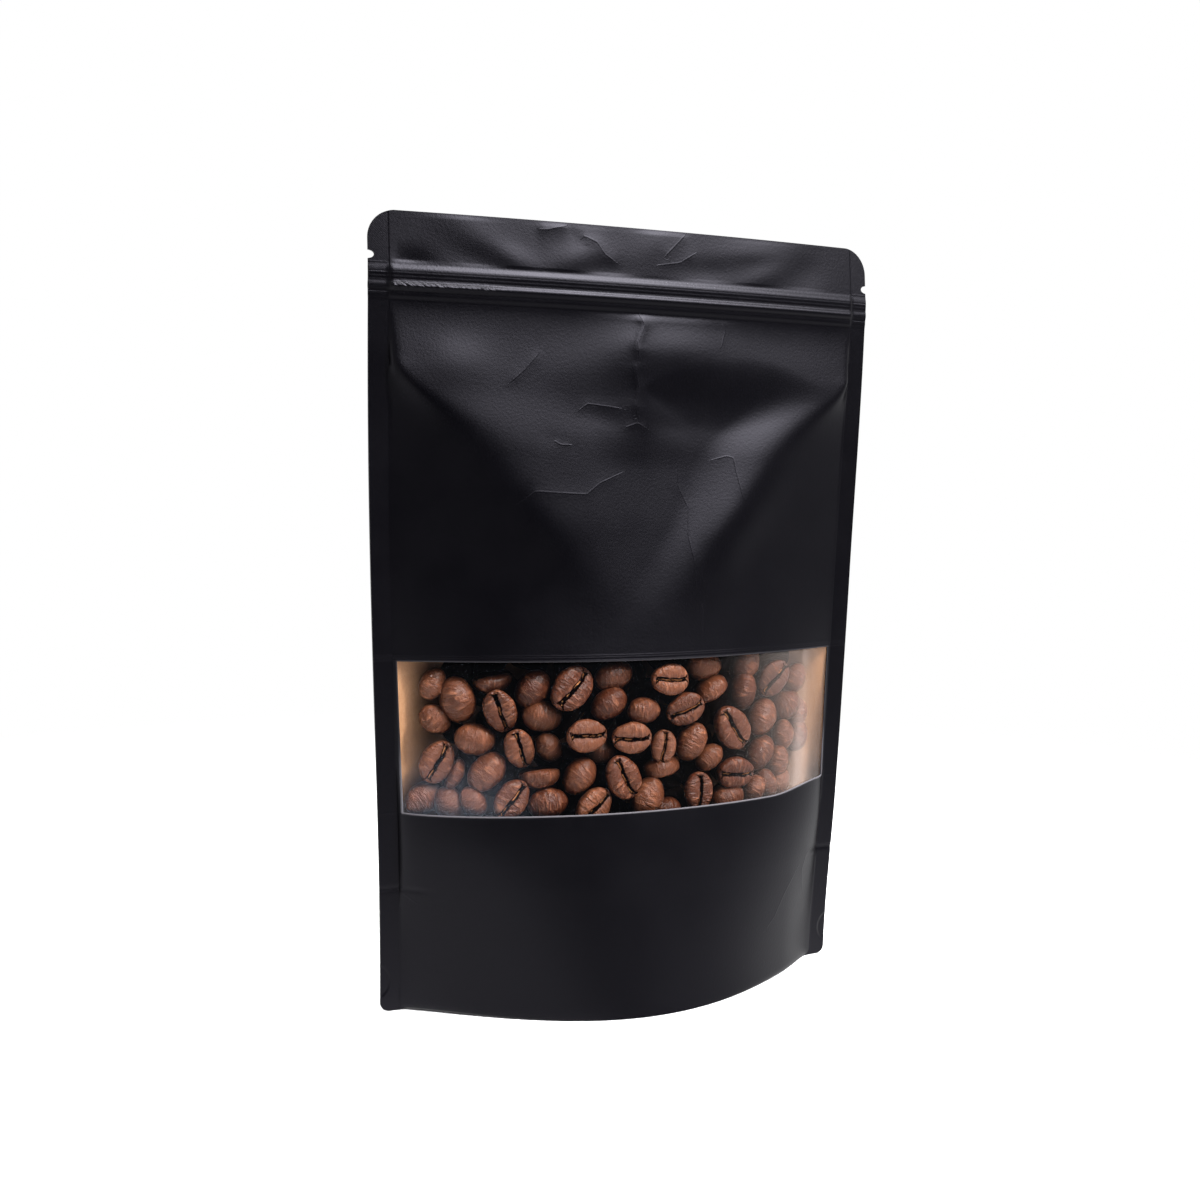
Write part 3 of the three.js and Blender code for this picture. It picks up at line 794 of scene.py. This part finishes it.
# closer rows at the rounded foot, the zip, the notches, the groove in the seals and the top corners
closeRows = [(0, 0.6, 0.3), (0.6, 2, 0.7), (zipLock["bottom"] - 0.3, zipLock["top"] + 0.3, 0.3),
             (notch["height"] - 1.05, notch["height"] + 1.05, 0.15),
             (pressed["groove"] - 1.5, pressed["groove"] + 1.5, 0.3)]
closeRows += [(cornerHeight(angle), cornerHeight(angle), 1) for angle in range(0, 91, 6)]


def keepFolds(piece, distance):
    # the distance jumps from one side of a fold to the other beyond its ends, so only near ones count
    keepNumber(piece, "foldLine", distance)
    keepNumber(piece, "foldNear", rise(panel["foldMost"], panel["foldLeast"], np.abs(distance)))


def makeFront():
    rows = rowList((2, window["bottom"], panel["lowerRow"]),
                   (window["bottom"], window["top"], panel["lowerRow"]),
                   (window["top"], zipLock["bottom"], panel["upperRow"]),
                   (zipLock["top"], form["height"], panel["headerRow"]), *closeRows)

    def place(x, z):
        lifted = windowLift(x, z)
        return np.stack([x, frontSurface(x, lifted), lifted], 1)

    front, x, z = gridSheet("front_panel", rows, panelColumns(panel["spacing"]), place)
    keepFolds(front, frontDetail(x, z)[1])
    keepNumber(front, "sealSide", np.abs(x) - straightSeal(z))
    keepNumber(front, "zipStrip", rise(*zipLock["linedLow"], z) * (1 - rise(*zipLock["linedHigh"], z)))
    twisted = (1 - rise(*zipLock["twistEnd"], x)) * rise(0, 1, sealInner(z) - np.abs(x))
    keepNumber(front, "zipRib", bell(z - zipLock["rib"], zipLock["twistHalf"]) * twisted)
    aboveOrBelow = np.maximum(z - window["top"], window["bottom"] - z)
    keepNumber(front, "rimLine", np.maximum(aboveOrBelow, np.abs(x) - sideEdge(z) + window["margin"]))

    def inWindow(c):
        reach = sideEdge(c[:, 2]) - window["margin"]
        bottom = windowLift(c[:, 0], window["bottom"])
        return (np.abs(c[:, 0]) < reach) & (c[:, 2] > bottom) & (c[:, 2] < window["top"])

    deleteFaces(front, inWindow)
    facing(front, (0, -1, 0))
    applyModifier(front, "SOLIDIFY", thickness=form["film"] * mm, offset=-1)
    smooth(front)
    seat(front, "pouch", laminateMaterial)


def makeBack():
    rows = rowList((2, zipLock["bottom"], panel["backRow"]),
                   (zipLock["top"], form["height"], panel["backHeaderRow"]), *closeRows)

    def place(x, z):
        return np.stack([x, backForm(x, z) + panel["backRelief"] * softDetail(-x, z)[0], z], 1)

    back, x, z = gridSheet("back_panel", rows, panelColumns(panel["backSpacing"]), place)
    keepFolds(back, softDetail(-x, z)[1])
    keepNumber(back, "sealSide", np.abs(x) - straightSeal(z))
    keepNumber(back, "rimLine", np.full(x.shape, farOff))
    facing(back, (0, 1, 0))
    applyModifier(back, "SOLIDIFY", thickness=form["film"] * mm, offset=-1)
    smooth(back)
    seat(back, "pouch", laminateMaterial)


makeFront()
makeBack()
print("panels made")

gusset = {
    "fold": 31, "skirt": 0.45, "end": 61, "foldEnd": 62, "clear": 0.1, "lift": 0.05, "film": 0.25,
    "row": 0.05, "columnAngle": 2,  # the grid's spacing, closer towards the two ends
    # along the panels: height of the seal, where it starts to climb to the fold, how it climbs
    "seal": 3.5, "sealFrom": 38, "sealPower": 1.15,
    # along the middle: half length and depth of the flat patch, how the fold and the sides climb from it
    "restHalf": 22, "restDepth": 0.45, "foldPower": 1.5, "sidePower": 1.6,
}


def gussetHeight(x, v):
    out = np.abs(x)
    sealed = np.clip((out - gusset["sealFrom"]) / (gusset["foldEnd"] - gusset["sealFrom"]), 0, 1)
    atPanel = blend(gusset["seal"], gusset["fold"], sealed ** gusset["sealPower"])
    folded = np.clip((out - gusset["restHalf"]) / (gusset["foldEnd"] - gusset["restHalf"]), 0, 1)
    atFold = blend(gusset["clear"], gusset["fold"], folded ** gusset["foldPower"])
    towards = np.clip((np.abs(v) - gusset["restDepth"]) / (1 - gusset["restDepth"]), 0, 1)
    return blend(atFold, atPanel, towards ** gusset["sidePower"])


def makeGusset():
    # up the inside of the front's skirt, over the arch and down the inside of the back's skirt
    skirtRows = [-1.0 - share for share in (1.0, 0.75, 0.5, 0.25)]
    rows = skirtRows + steps(-1, 1, gusset["row"]) + [-row for row in reversed(skirtRows)]

    def columns(row):
        angles = range(-90, 91, gusset["columnAngle"])
        return [gusset["end"] * math.sin(math.radians(angle)) for angle in angles]

    def place(x, row):
        v = np.clip(row, -1, 1)
        height = gussetHeight(x, v) * np.clip(2 - np.abs(row), 0, 1)
        middle = middleY(x, height)
        inFront = np.minimum(frontForm(x, height) + gusset["skirt"], middle - gusset["clear"])
        inBack = np.maximum(backForm(x, height) - gusset["skirt"], middle + gusset["clear"])
        return np.stack([x, blend(inFront, inBack, (v + 1) / 2), height + gusset["lift"]], 1)

    sheet, x, _ = gridSheet("bottom_gusset", rows, columns, place)
    keepFolds(sheet, np.full(x.shape, farOff))
    keepNumber(sheet, "sealSide", np.full(x.shape, -farOff))
    keepNumber(sheet, "rimLine", np.full(x.shape, farOff))
    facing(sheet, (0, 0, -1))
    applyModifier(sheet, "SOLIDIFY", thickness=gusset["film"] * mm, offset=-1)
    smooth(sheet)
    seat(sheet, "pouch", laminateMaterial)


makeGusset()
print("gusset made")

pane = {"behind": 0.27, "thickness": 0.12, "lap": 2.0, "aside": 0.8, "spacing": 1.2}
lining = {"wall": 0.9, "depth": 2, "thickness": 0.3, "lap": 3, "aside": 0.6, "row": 2, "spacing": 1.5}


def windowColumns(aside, spacing, span=130):
    def at(z):
        reach = float(sideEdge(z)) - window["margin"] + aside
        count = round(span / spacing)
        return [-reach + 2 * reach * i / count for i in range(count + 1)]
    return at


def makeWindowFilm():
    rows = steps(window["bottom"] - pane["lap"], window["top"] + pane["lap"], pane["spacing"])

    def place(x, z):
        return np.stack([x, frontSurface(x, z) + pane["behind"], z], 1)

    film = gridSheet("window_film", rows, windowColumns(pane["aside"], pane["spacing"]), place)[0]
    facing(film, (0, -1, 0))
    applyModifier(film, "SOLIDIFY", thickness=pane["thickness"] * mm, offset=-1)
    smooth(film)
    seat(film, "window_film", filmMaterial)


def liningY(x, z):
    return np.minimum(backForm(x, z) - lining["wall"], lining["depth"])


def makeLining():
    rows = steps(window["bottom"] - lining["lap"], window["top"] + lining["lap"], lining["row"])

    def place(x, z):
        return np.stack([x, liningY(x, z), z], 1)

    paper = gridSheet("kraft_lining", rows, windowColumns(lining["aside"], lining["spacing"]), place)[0]
    facing(paper, (0, -1, 0))
    applyModifier(paper, "SOLIDIFY", thickness=lining["thickness"] * mm, offset=-1)
    smooth(paper)
    seat(paper, "kraft_lining", kraftMaterial)


makeWindowFilm()
makeLining()
print("window made")

bean = {
    "length": 10.6, "width": 8.3, "dome": 3.6, "domePower": 0.95, "flat": 1.9, "flatPower": 0.6,
    "crease": 1.0, "creaseHalf": 0.24, "shoulder": 0.6, "shoulderHalf": 1.4,
    "creaseSwing": 0.3, "creaseWiggle": 0.08, "lumps": 0.05, "lumpScale": 0.45,
    # the crack forks from this share of the half length on, and ends
    "forkFrom": 0.78, "forkLength": 0.12, "forkSpread": 0.9, "forkThinning": 0.22,
    "crackEnd": 0.94, "crackFade": 30,
    "segments": 46, "rings": 26, "crowding": 0.72, "crowdingHalf": 35, "sharpAngle": 60, "seed": 41,
    # how much beans differ in length, width, taper and size, and how far apart their wrinkles lie
    "lengths": (0.95, 1.06), "widths": (0.94, 1.06), "taper": 0.08, "sizes": (0.96, 1.04), "apart": 90,
    # laid against the film, with painted shade darkening them from shadeFrom to shadeTo behind it
    "gap": 0.2, "clearance": 0.1, "shadeFrom": 1.0, "shadeTo": 6.0, "lean": 12, "pitchShare": 0.6,
    "forms": 4,
}
heap = {
    "low": 44, "high": 94, "row": 7.2, "side": 46, "stagger": 4, "spacing": 9.2, "loose": 1,
    "depth": 6.5, "lean": 20, "forms": 2, "segments": 20, "rings": 12,
}
beanSizes = {"s": 0.82, "m": 1.0, "L": 1.17}

# pose (front shows the crease, dome the back, edge the side), place across and up, turn, size, depth
windowBeans = [
    ("dome", -53, 83.5, 60, "s", 0.5), ("dome", -47, 79.5, -75, "L", 0), ("edge", -38, 84.5, 10, "m", 1.5),
    ("dome", -28.5, 82, 50, "m", 1.5), ("front", -19.5, 82.5, 50, "L", 0), ("dome", -7, 85, 15, "m", 2),
    ("front", -37.5, 77, -65, "m", 0), ("dome", -26, 75, -10, "m", 2), ("dome", -9, 78, 35, "m", 1),
    ("dome", -52.5, 74.5, -35, "s", 0.5), ("dome", -43, 69.5, -10, "m", 0.5),
    ("front", -33, 67.5, -67, "m", 0),
    ("dome", -24.5, 67, -50, "s", 3), ("front", -16, 70.5, 3, "m", 0), ("front", -52.5, 64, 65, "m", 0.3),
    ("edge", -48.5, 61, 65, "s", 1.5), ("dome", -40.5, 61.5, 45, "m", 0.5), ("edge", -27.5, 60.5, 5, "m", 1),
    ("dome", -17.5, 60, 50, "m", 1), ("front", -6.5, 59.5, -60, "L", 0), ("dome", -55, 54.5, 30, "m", 0.5),
    ("dome", -49, 53, -60, "m", 1.5), ("dome", -44, 54, -55, "s", 1), ("front", -35.5, 55, 55, "m", 0),
    ("dome", -26, 53.5, 10, "m", 0.5), ("front", -14.5, 52.5, 45, "m", 0.5), ("front", 7.5, 84, 0, "m", 0),
    ("dome", 0.5, 76, 0, "s", 1), ("dome", 19.5, 86.5, 0, "m", 2), ("front", 12, 76, 25, "m", 0),
    ("edge", 21.5, 80, 30, "m", 1), ("dome", 33.5, 86, 60, "m", 1.5), ("dome", 32.5, 79, 80, "m", 1.5),
    ("front", 42.5, 82, 50, "m", 0), ("front", -4, 69.5, 3, "m", 0), ("front", 5.5, 66.5, 80, "s", 1.5),
    ("dome", 14.5, 67, 60, "m", 0.5), ("front", 27, 70, -52, "L", 0), ("dome", 38.5, 71.5, 60, "m", 0.5),
    ("dome", 20, 62.5, 35, "s", 1.5), ("edge", 5.5, 60.5, 10, "m", 2), ("front", 27.5, 58, 0, "m", 0),
    ("dome", 37.5, 62, 50, "m", 1), ("dome", 1, 53.5, 60, "m", 1), ("front", 15, 54.5, 90, "m", 0),
    ("dome", 25.5, 51, 15, "m", 1.5), ("dome", 34.5, 52.5, 60, "s", 1), ("dome", 39, 53.5, -70, "s", 1),
    ("dome", 44, 53, 60, "s", 1), ("dome", 43.5, 59, 75, "s", 0.5), ("dome", 47.5, 73.5, 30, "m", 0.5),
    ("dome", 51.5, 81, 60, "s", 0.5), ("dome", 52.5, 71, 80, "s", 1), ("dome", 46, 66, 80, "s", 0.5),
    ("dome", 52.5, 65, 80, "s", 1), ("dome", 6.5, 50, 0, "s", 2), ("dome", -10.5, 65.5, 0, "s", 4),
]


def beanForm(draw, segments, rings):
    # one bean: long along X, dome to +Z, crease down the flat side; also its crease distance
    bpy.ops.mesh.primitive_uv_sphere_add(segments=segments, ring_count=rings, radius=1)
    seed = bpy.context.object
    ball = coordinates(seed)
    faces = [tuple(polygon.vertices) for polygon in seed.data.polygons]
    bpy.ops.object.delete()
    a = ball[:, 2]
    ring = np.hypot(ball[:, 0], ball[:, 1])
    angle = np.arctan2(ball[:, 0], -ball[:, 1])
    # more vertices beside the crease
    angle = angle * (1 - bean["crowding"] * bell(angle, math.radians(bean["crowdingHalf"])))
    b, c = ring * np.sin(angle), -ring * np.cos(angle)
    length = bean["length"] * draw.uniform(*bean["lengths"]) / 2
    width = bean["width"] * draw.uniform(*bean["widths"]) / 2
    x = a * length
    y = b * width * (1 - draw.uniform(-bean["taper"], bean["taper"]) * a)
    swing = bean["creaseSwing"] * np.sin(2.4 * a + draw.uniform(-1, 1))
    wiggle = bean["creaseWiggle"] * np.sin(9 * a + draw.uniform(0, 6))
    fromCrease = y - (swing + wiggle)
    under = c < 0
    flat = -bean["flat"] * np.abs(c) ** bean["flatPower"]
    flat = flat + bean["shoulder"] * bell(fromCrease, bean["shoulderHalf"]) * (1 - a ** 4)
    half = bean["creaseHalf"] * (1 + 1.2 * a ** 8)
    flat = flat + bean["crease"] * bell(fromCrease, half) * np.clip(1.05 - a ** 6, 0, 1)
    z = np.where(under, flat, bean["dome"] * np.abs(c) ** bean["domePower"])
    shift = Vector((draw.uniform(0, 50), draw.uniform(0, 50), draw.uniform(0, 50)))
    lumps = np.array([noise.noise(Vector(p) * bean["lumpScale"] + shift) for p in zip(x, y, z)])
    grow = 1 + bean["lumps"] * lumps
    points = np.stack([x * grow, y * grow, z * grow], 1)
    fork = np.clip((np.abs(a) - bean["forkFrom"]) / bean["forkLength"], 0, 1.4)
    creaseSide = np.abs(np.abs(fromCrease) - bean["forkSpread"] * fork) + bean["forkThinning"] * fork
    beyond = np.clip(np.abs(a) - bean["crackEnd"], 0, 1)
    return points, faces, np.where(under, creaseSide, farOff) + bean["crackFade"] * beyond


def beanTurn(pose, turn, draw, lean):
    # X to the bean's length in the panel, its shown side towards the front
    roll = {"front": 90, "dome": -90, "edge": 0}[pose] + draw.uniform(-lean, lean)
    if pose == "edge" and draw.random() < 0.5:
        roll += 180
    pitch = draw.uniform(-lean, lean) * bean["pitchShare"]
    return (Matrix.Rotation(math.radians(-turn), 3, "Y")
            @ Matrix.Rotation(math.radians(pitch), 3, "Z")
            @ Matrix.Rotation(math.radians(-roll), 3, "X"))


def layBeans(name, placed, forms, draw, lean):
    vertices, polygons, places, creases, tones, depthShades = [], [], [], [], [], []
    total = 0
    for pose, x, z, turn, size, depth in placed:
        points, faces, creaseSide = forms[draw.randrange(len(forms))]
        scaled = points * beanSizes[size] * draw.uniform(*bean["sizes"])
        turned = scaled @ np.array(beanTurn(pose, turn, draw, lean)).T
        front = frontSurface(x + turned[:, 0], z + turned[:, 2]) + pane["behind"] + pane["thickness"]
        y = float((front - turned[:, 1]).max()) + bean["gap"] + depth
        laid = turned + np.array([x, y, z])
        laid[:, 1] = np.minimum(laid[:, 1], liningY(laid[:, 0], laid[:, 2]) - bean["clearance"])
        vertices.append(laid)
        # painted shade: how much darker each point is, by its depth behind the film
        depthShades.append(rise(bean["shadeFrom"], bean["shadeTo"], turned[:, 1] + y - front))
        polygons += [tuple(index + total for index in face) for face in faces]
        shifts = [draw.uniform(-bean["apart"], bean["apart"]) for _ in range(2)]
        places.append(points + np.array([*shifts, 0]))
        creases.append(creaseSide)
        tones.append(np.full(len(points), draw.uniform(0, 1)))
        total += len(points)
    mesh = bpy.data.meshes.new(name)
    mesh.from_pydata((np.concatenate(vertices) * mm).tolist(), [], polygons)
    piece = bpy.data.objects.new(name, mesh)
    bpy.context.scene.collection.objects.link(piece)
    keepNumber(piece, "creaseSide", np.concatenate(creases))
    keepNumber(piece, "beanTone", np.concatenate(tones))
    keepNumber(piece, "beanDepthShade", np.concatenate(depthShades))
    layer = mesh.attributes.new("beanPlace", "FLOAT_VECTOR", "POINT")
    layer.data.foreach_set("vector", np.concatenate(places).astype(np.float32).ravel())
    smooth(piece, bean["sharpAngle"])
    seat(piece, "beans", beanMaterial)


def backBeans(draw):
    # staggered rows behind the beans that touch the film
    placed = []
    for row, z in enumerate(steps(heap["low"], heap["high"], heap["row"])):
        for x in steps(-heap["side"] + heap["stagger"] * (row % 2), heap["side"], heap["spacing"]):
            pose = draw.choice(["front", "dome", "dome", "edge"])
            aside = draw.uniform(-heap["loose"], heap["loose"])
            above = draw.uniform(-heap["loose"], heap["loose"])
            placed.append((pose, x + aside, z + above, draw.uniform(0, 180), "m", heap["depth"]))
    return placed


def makeBeans():
    draw = random.Random(bean["seed"])
    forms = [beanForm(draw, bean["segments"], bean["rings"]) for _ in range(bean["forms"])]
    layBeans("window_beans", windowBeans, forms, draw, bean["lean"])
    plainForms = [beanForm(draw, heap["segments"], heap["rings"]) for _ in range(heap["forms"])]
    layBeans("back_beans", backBeans(draw), plainForms, draw, heap["lean"])


makeBeans()
print("beans made")

studio = {
    # from here on in metres: the floor, and from where to where it fades to white and its glow ends
    "floor": (0.86, 0.86, 0.87, 1), "floorRadius": 40, "floorLevel": -0.0002,
    "whiteFrom": 0.1, "whiteTo": 0.45, "glowFrom": 0.08, "glowTo": 0.8,
    # how bright the room mirrors in the pouch: azimuth (0 in front, positive to the right), strength
    "room": [(-180, 0.8), (-110, 0.6), (-75, 0.2), (-35, 0.16), (-12, 0.012), (6, 0.012),
             (30, 0.1), (48, 0.11), (60, 0.17), (75, 0.32), (95, 0.5), (180, 0.7)],
    # the large soft light: azimuth and elevation where it fades in and out, strength
    "across": (3, 14, 36, 60), "up": (13, 36, 53, 75), "strength": 6.0,
    # its bright middle, in the same way
    "coreAcross": (5, 18, 34, 50), "coreUp": (38, 48, 60, 72), "core": 7.0,
    "floorGlow": 0.3, "floorBounce": 0.4,
}


def degreesOf(wire, radians):
    return wire.math("MULTIPLY", radians, 180 / math.pi)


def patchOfLight(wire, azimuth, elevation, across, up, strength):
    for value, (start, full, fading, end) in ((azimuth, studio[across]), (elevation, studio[up])):
        strength = wire.math("MULTIPLY", wire.ramp(value, start, full), strength)
        strength = wire.math("MULTIPLY", wire.ramp(value, fading, end, 1.0, 0.0), strength)
    return strength


def makeRoomGroup():
    # light from the room and from the large soft light, by the direction of a vector
    group, wire = newGroup("roomLight", [("Vector", "NodeSocketVector", None)],
                           [("Room", "NodeSocketFloat"), ("Soft Light", "NodeSocketFloat")])
    given = wire.add("NodeGroupInput").outputs
    unit = wire.add("ShaderNodeVectorMath", {0: given["Vector"]}, operation="NORMALIZE").outputs[0]
    parts = wire.add("ShaderNodeSeparateXYZ", {0: unit}).outputs
    azimuth = degreesOf(wire, wire.math("ARCTAN2", parts["X"], wire.math("MULTIPLY", parts["Y"], -1.0)))
    elevation = degreesOf(wire, wire.math("ARCSINE", parts["Z"]))
    turn = wire.math("ADD", wire.math("DIVIDE", azimuth, 360.0), 0.5)
    ramp = wire.add("ShaderNodeValToRGB", {0: turn})
    stops = ramp.color_ramp.elements
    for angle, strength in studio["room"][1:-1]:
        stops.new(angle / 360 + 0.5).color = (strength, strength, strength, 1)
    for stop, (angle, strength) in zip((stops[0], stops[-1]), (studio["room"][0], studio["room"][-1])):
        stop.color = (strength, strength, strength, 1)
    soft = patchOfLight(wire, azimuth, elevation, "across", "up", studio["strength"])
    core = patchOfLight(wire, azimuth, elevation, "coreAcross", "coreUp", studio["core"])
    out = wire.add("NodeGroupOutput")
    wire.put(out.inputs["Room"], ramp.outputs[0])
    wire.put(out.inputs["Soft Light"], wire.math("ADD", soft, core))
    return group


roomGroup = makeRoomGroup()


def makeFloor():
    # a pale floor: it fades to plain white away from the pouch, and mirrors in it as the room does
    bpy.ops.mesh.primitive_circle_add(vertices=96, radius=studio["floorRadius"], fill_type="NGON",
                                      location=(0, 0, studio["floorLevel"]))
    floor = bpy.context.object
    floor.name = "studio_floor"
    material, wire = newMaterial("studio_floor")
    place = wire.add("ShaderNodeTexCoord").outputs["Object"]
    away = wire.add("ShaderNodeVectorMath", {0: place}, operation="LENGTH").outputs["Value"]
    far = wire.ramp(away, studio["whiteFrom"], studio["whiteTo"])
    near = wire.add("ShaderNodeBsdfDiffuse", {"Color": studio["floor"]})
    toCamera = wire.add("ShaderNodeLightPath").outputs["Is Camera Ray"]
    white = wire.add("ShaderNodeEmission", {
        "Color": (1, 1, 1, 1), "Strength": wire.ramp(toCamera, 0.0, 1.0, studio["floorBounce"], 1.0),
    })
    seen = wire.add("ShaderNodeMixShader", {0: far, 1: near.outputs[0], 2: white.outputs[0]})
    room = wire.add("ShaderNodeGroup", node_tree=roomGroup)
    wire.put(room.inputs["Vector"], place)
    glow = wire.ramp(away, studio["glowFrom"], studio["glowTo"], studio["floorGlow"], 0.0)
    dim = wire.add("ShaderNodeEmission", {
        "Color": (1, 1, 1, 1), "Strength": wire.math("ADD", room.outputs["Room"], glow),
    })
    inGloss = wire.add("ShaderNodeLightPath").outputs["Is Glossy Ray"]
    both = wire.add("ShaderNodeMixShader", {0: inGloss, 1: seen.outputs[0], 2: dim.outputs[0]})
    out = wire.add("ShaderNodeOutputMaterial")
    wire.put(out.inputs["Surface"], both.outputs[0])
    floor.data.materials.append(material)


def makeSurround():
    world = bpy.data.worlds.new("studio")
    world.use_nodes = True
    bpy.context.scene.world = world
    wire = Wiring(world.node_tree)
    world.node_tree.nodes.clear()
    room = wire.add("ShaderNodeGroup", node_tree=roomGroup)
    wire.put(room.inputs["Vector"], wire.add("ShaderNodeTexCoord").outputs["Generated"])
    plain = wire.add("ShaderNodeBackground", {"Color": (1, 1, 1, 1), "Strength": 1.0})
    strength = wire.math("ADD", room.outputs["Room"], room.outputs["Soft Light"])
    lit = wire.add("ShaderNodeBackground", {"Color": (1, 1, 1, 1), "Strength": strength})
    seen = wire.add("ShaderNodeLightPath").outputs["Is Camera Ray"]
    both = wire.add("ShaderNodeMixShader", {0: seen, 1: lit.outputs[0], 2: plain.outputs[0]})
    out = wire.add("ShaderNodeOutputWorld")
    wire.put(out.inputs["Surface"], both.outputs[0])


def softbox(name, azimuth, elevation, distance, size, power, aim=(0, 0, 0.1), inGloss=True):
    # azimuth 0 is straight in front of the pouch, positive towards its right
    a, e = math.radians(azimuth), math.radians(elevation)
    target = Vector(aim)
    away = Vector((math.sin(a) * math.cos(e), -math.cos(a) * math.cos(e), math.sin(e)))
    lamp = bpy.data.lights.new(name, "AREA")
    lamp.shape = "RECTANGLE"
    lamp.size, lamp.size_y = size
    lamp.energy = power
    holder = bpy.data.objects.new(name, lamp)
    bpy.context.scene.collection.objects.link(holder)
    holder.location = target + away * distance
    holder.rotation_euler = (-away).to_track_quat("-Z", "Y").to_euler()
    holder.visible_camera = False
    holder.visible_glossy = inGloss


camera = {
    "place": (-159.6, -356.8, 138.9), "yaw": 23.1, "pitch": 5.16, "roll": 1.11,
    "lens": 44.4, "sensor": 36, "near": 10,
}


def makeCamera():
    yaw, pitch, roll = (math.radians(camera[key]) for key in ("yaw", "pitch", "roll"))
    ahead = Vector((math.sin(yaw) * math.cos(pitch), math.cos(yaw) * math.cos(pitch), -math.sin(pitch)))
    level = Vector((math.cos(yaw), -math.sin(yaw), 0))
    above = level.cross(ahead)
    right = level * math.cos(roll) + above * math.sin(roll)
    up = above * math.cos(roll) - level * math.sin(roll)
    lens = bpy.data.cameras.new("camera")
    lens.lens = camera["lens"]
    lens.sensor_width = camera["sensor"]
    lens.clip_start = camera["near"] * mm
    holder = bpy.data.objects.new("camera", lens)
    bpy.context.scene.collection.objects.link(holder)
    turn = Matrix((right, up, -ahead)).transposed()
    holder.matrix_world = Matrix.Translation(Vector(camera["place"]) * mm) @ turn.to_4x4()
    bpy.context.scene.camera = holder


makeFloor()
makeSurround()
softbox("top", azimuth=170, elevation=72, distance=1.2, size=(0.8, 0.8), power=26)
softbox("key", azimuth=46, elevation=54, distance=0.9, size=(0.14, 0.14), power=18,
        aim=(0, 0, 0.07), inGloss=False)
makeCamera()
bpy.context.scene.view_settings.view_transform = "Standard"
print("studio made")
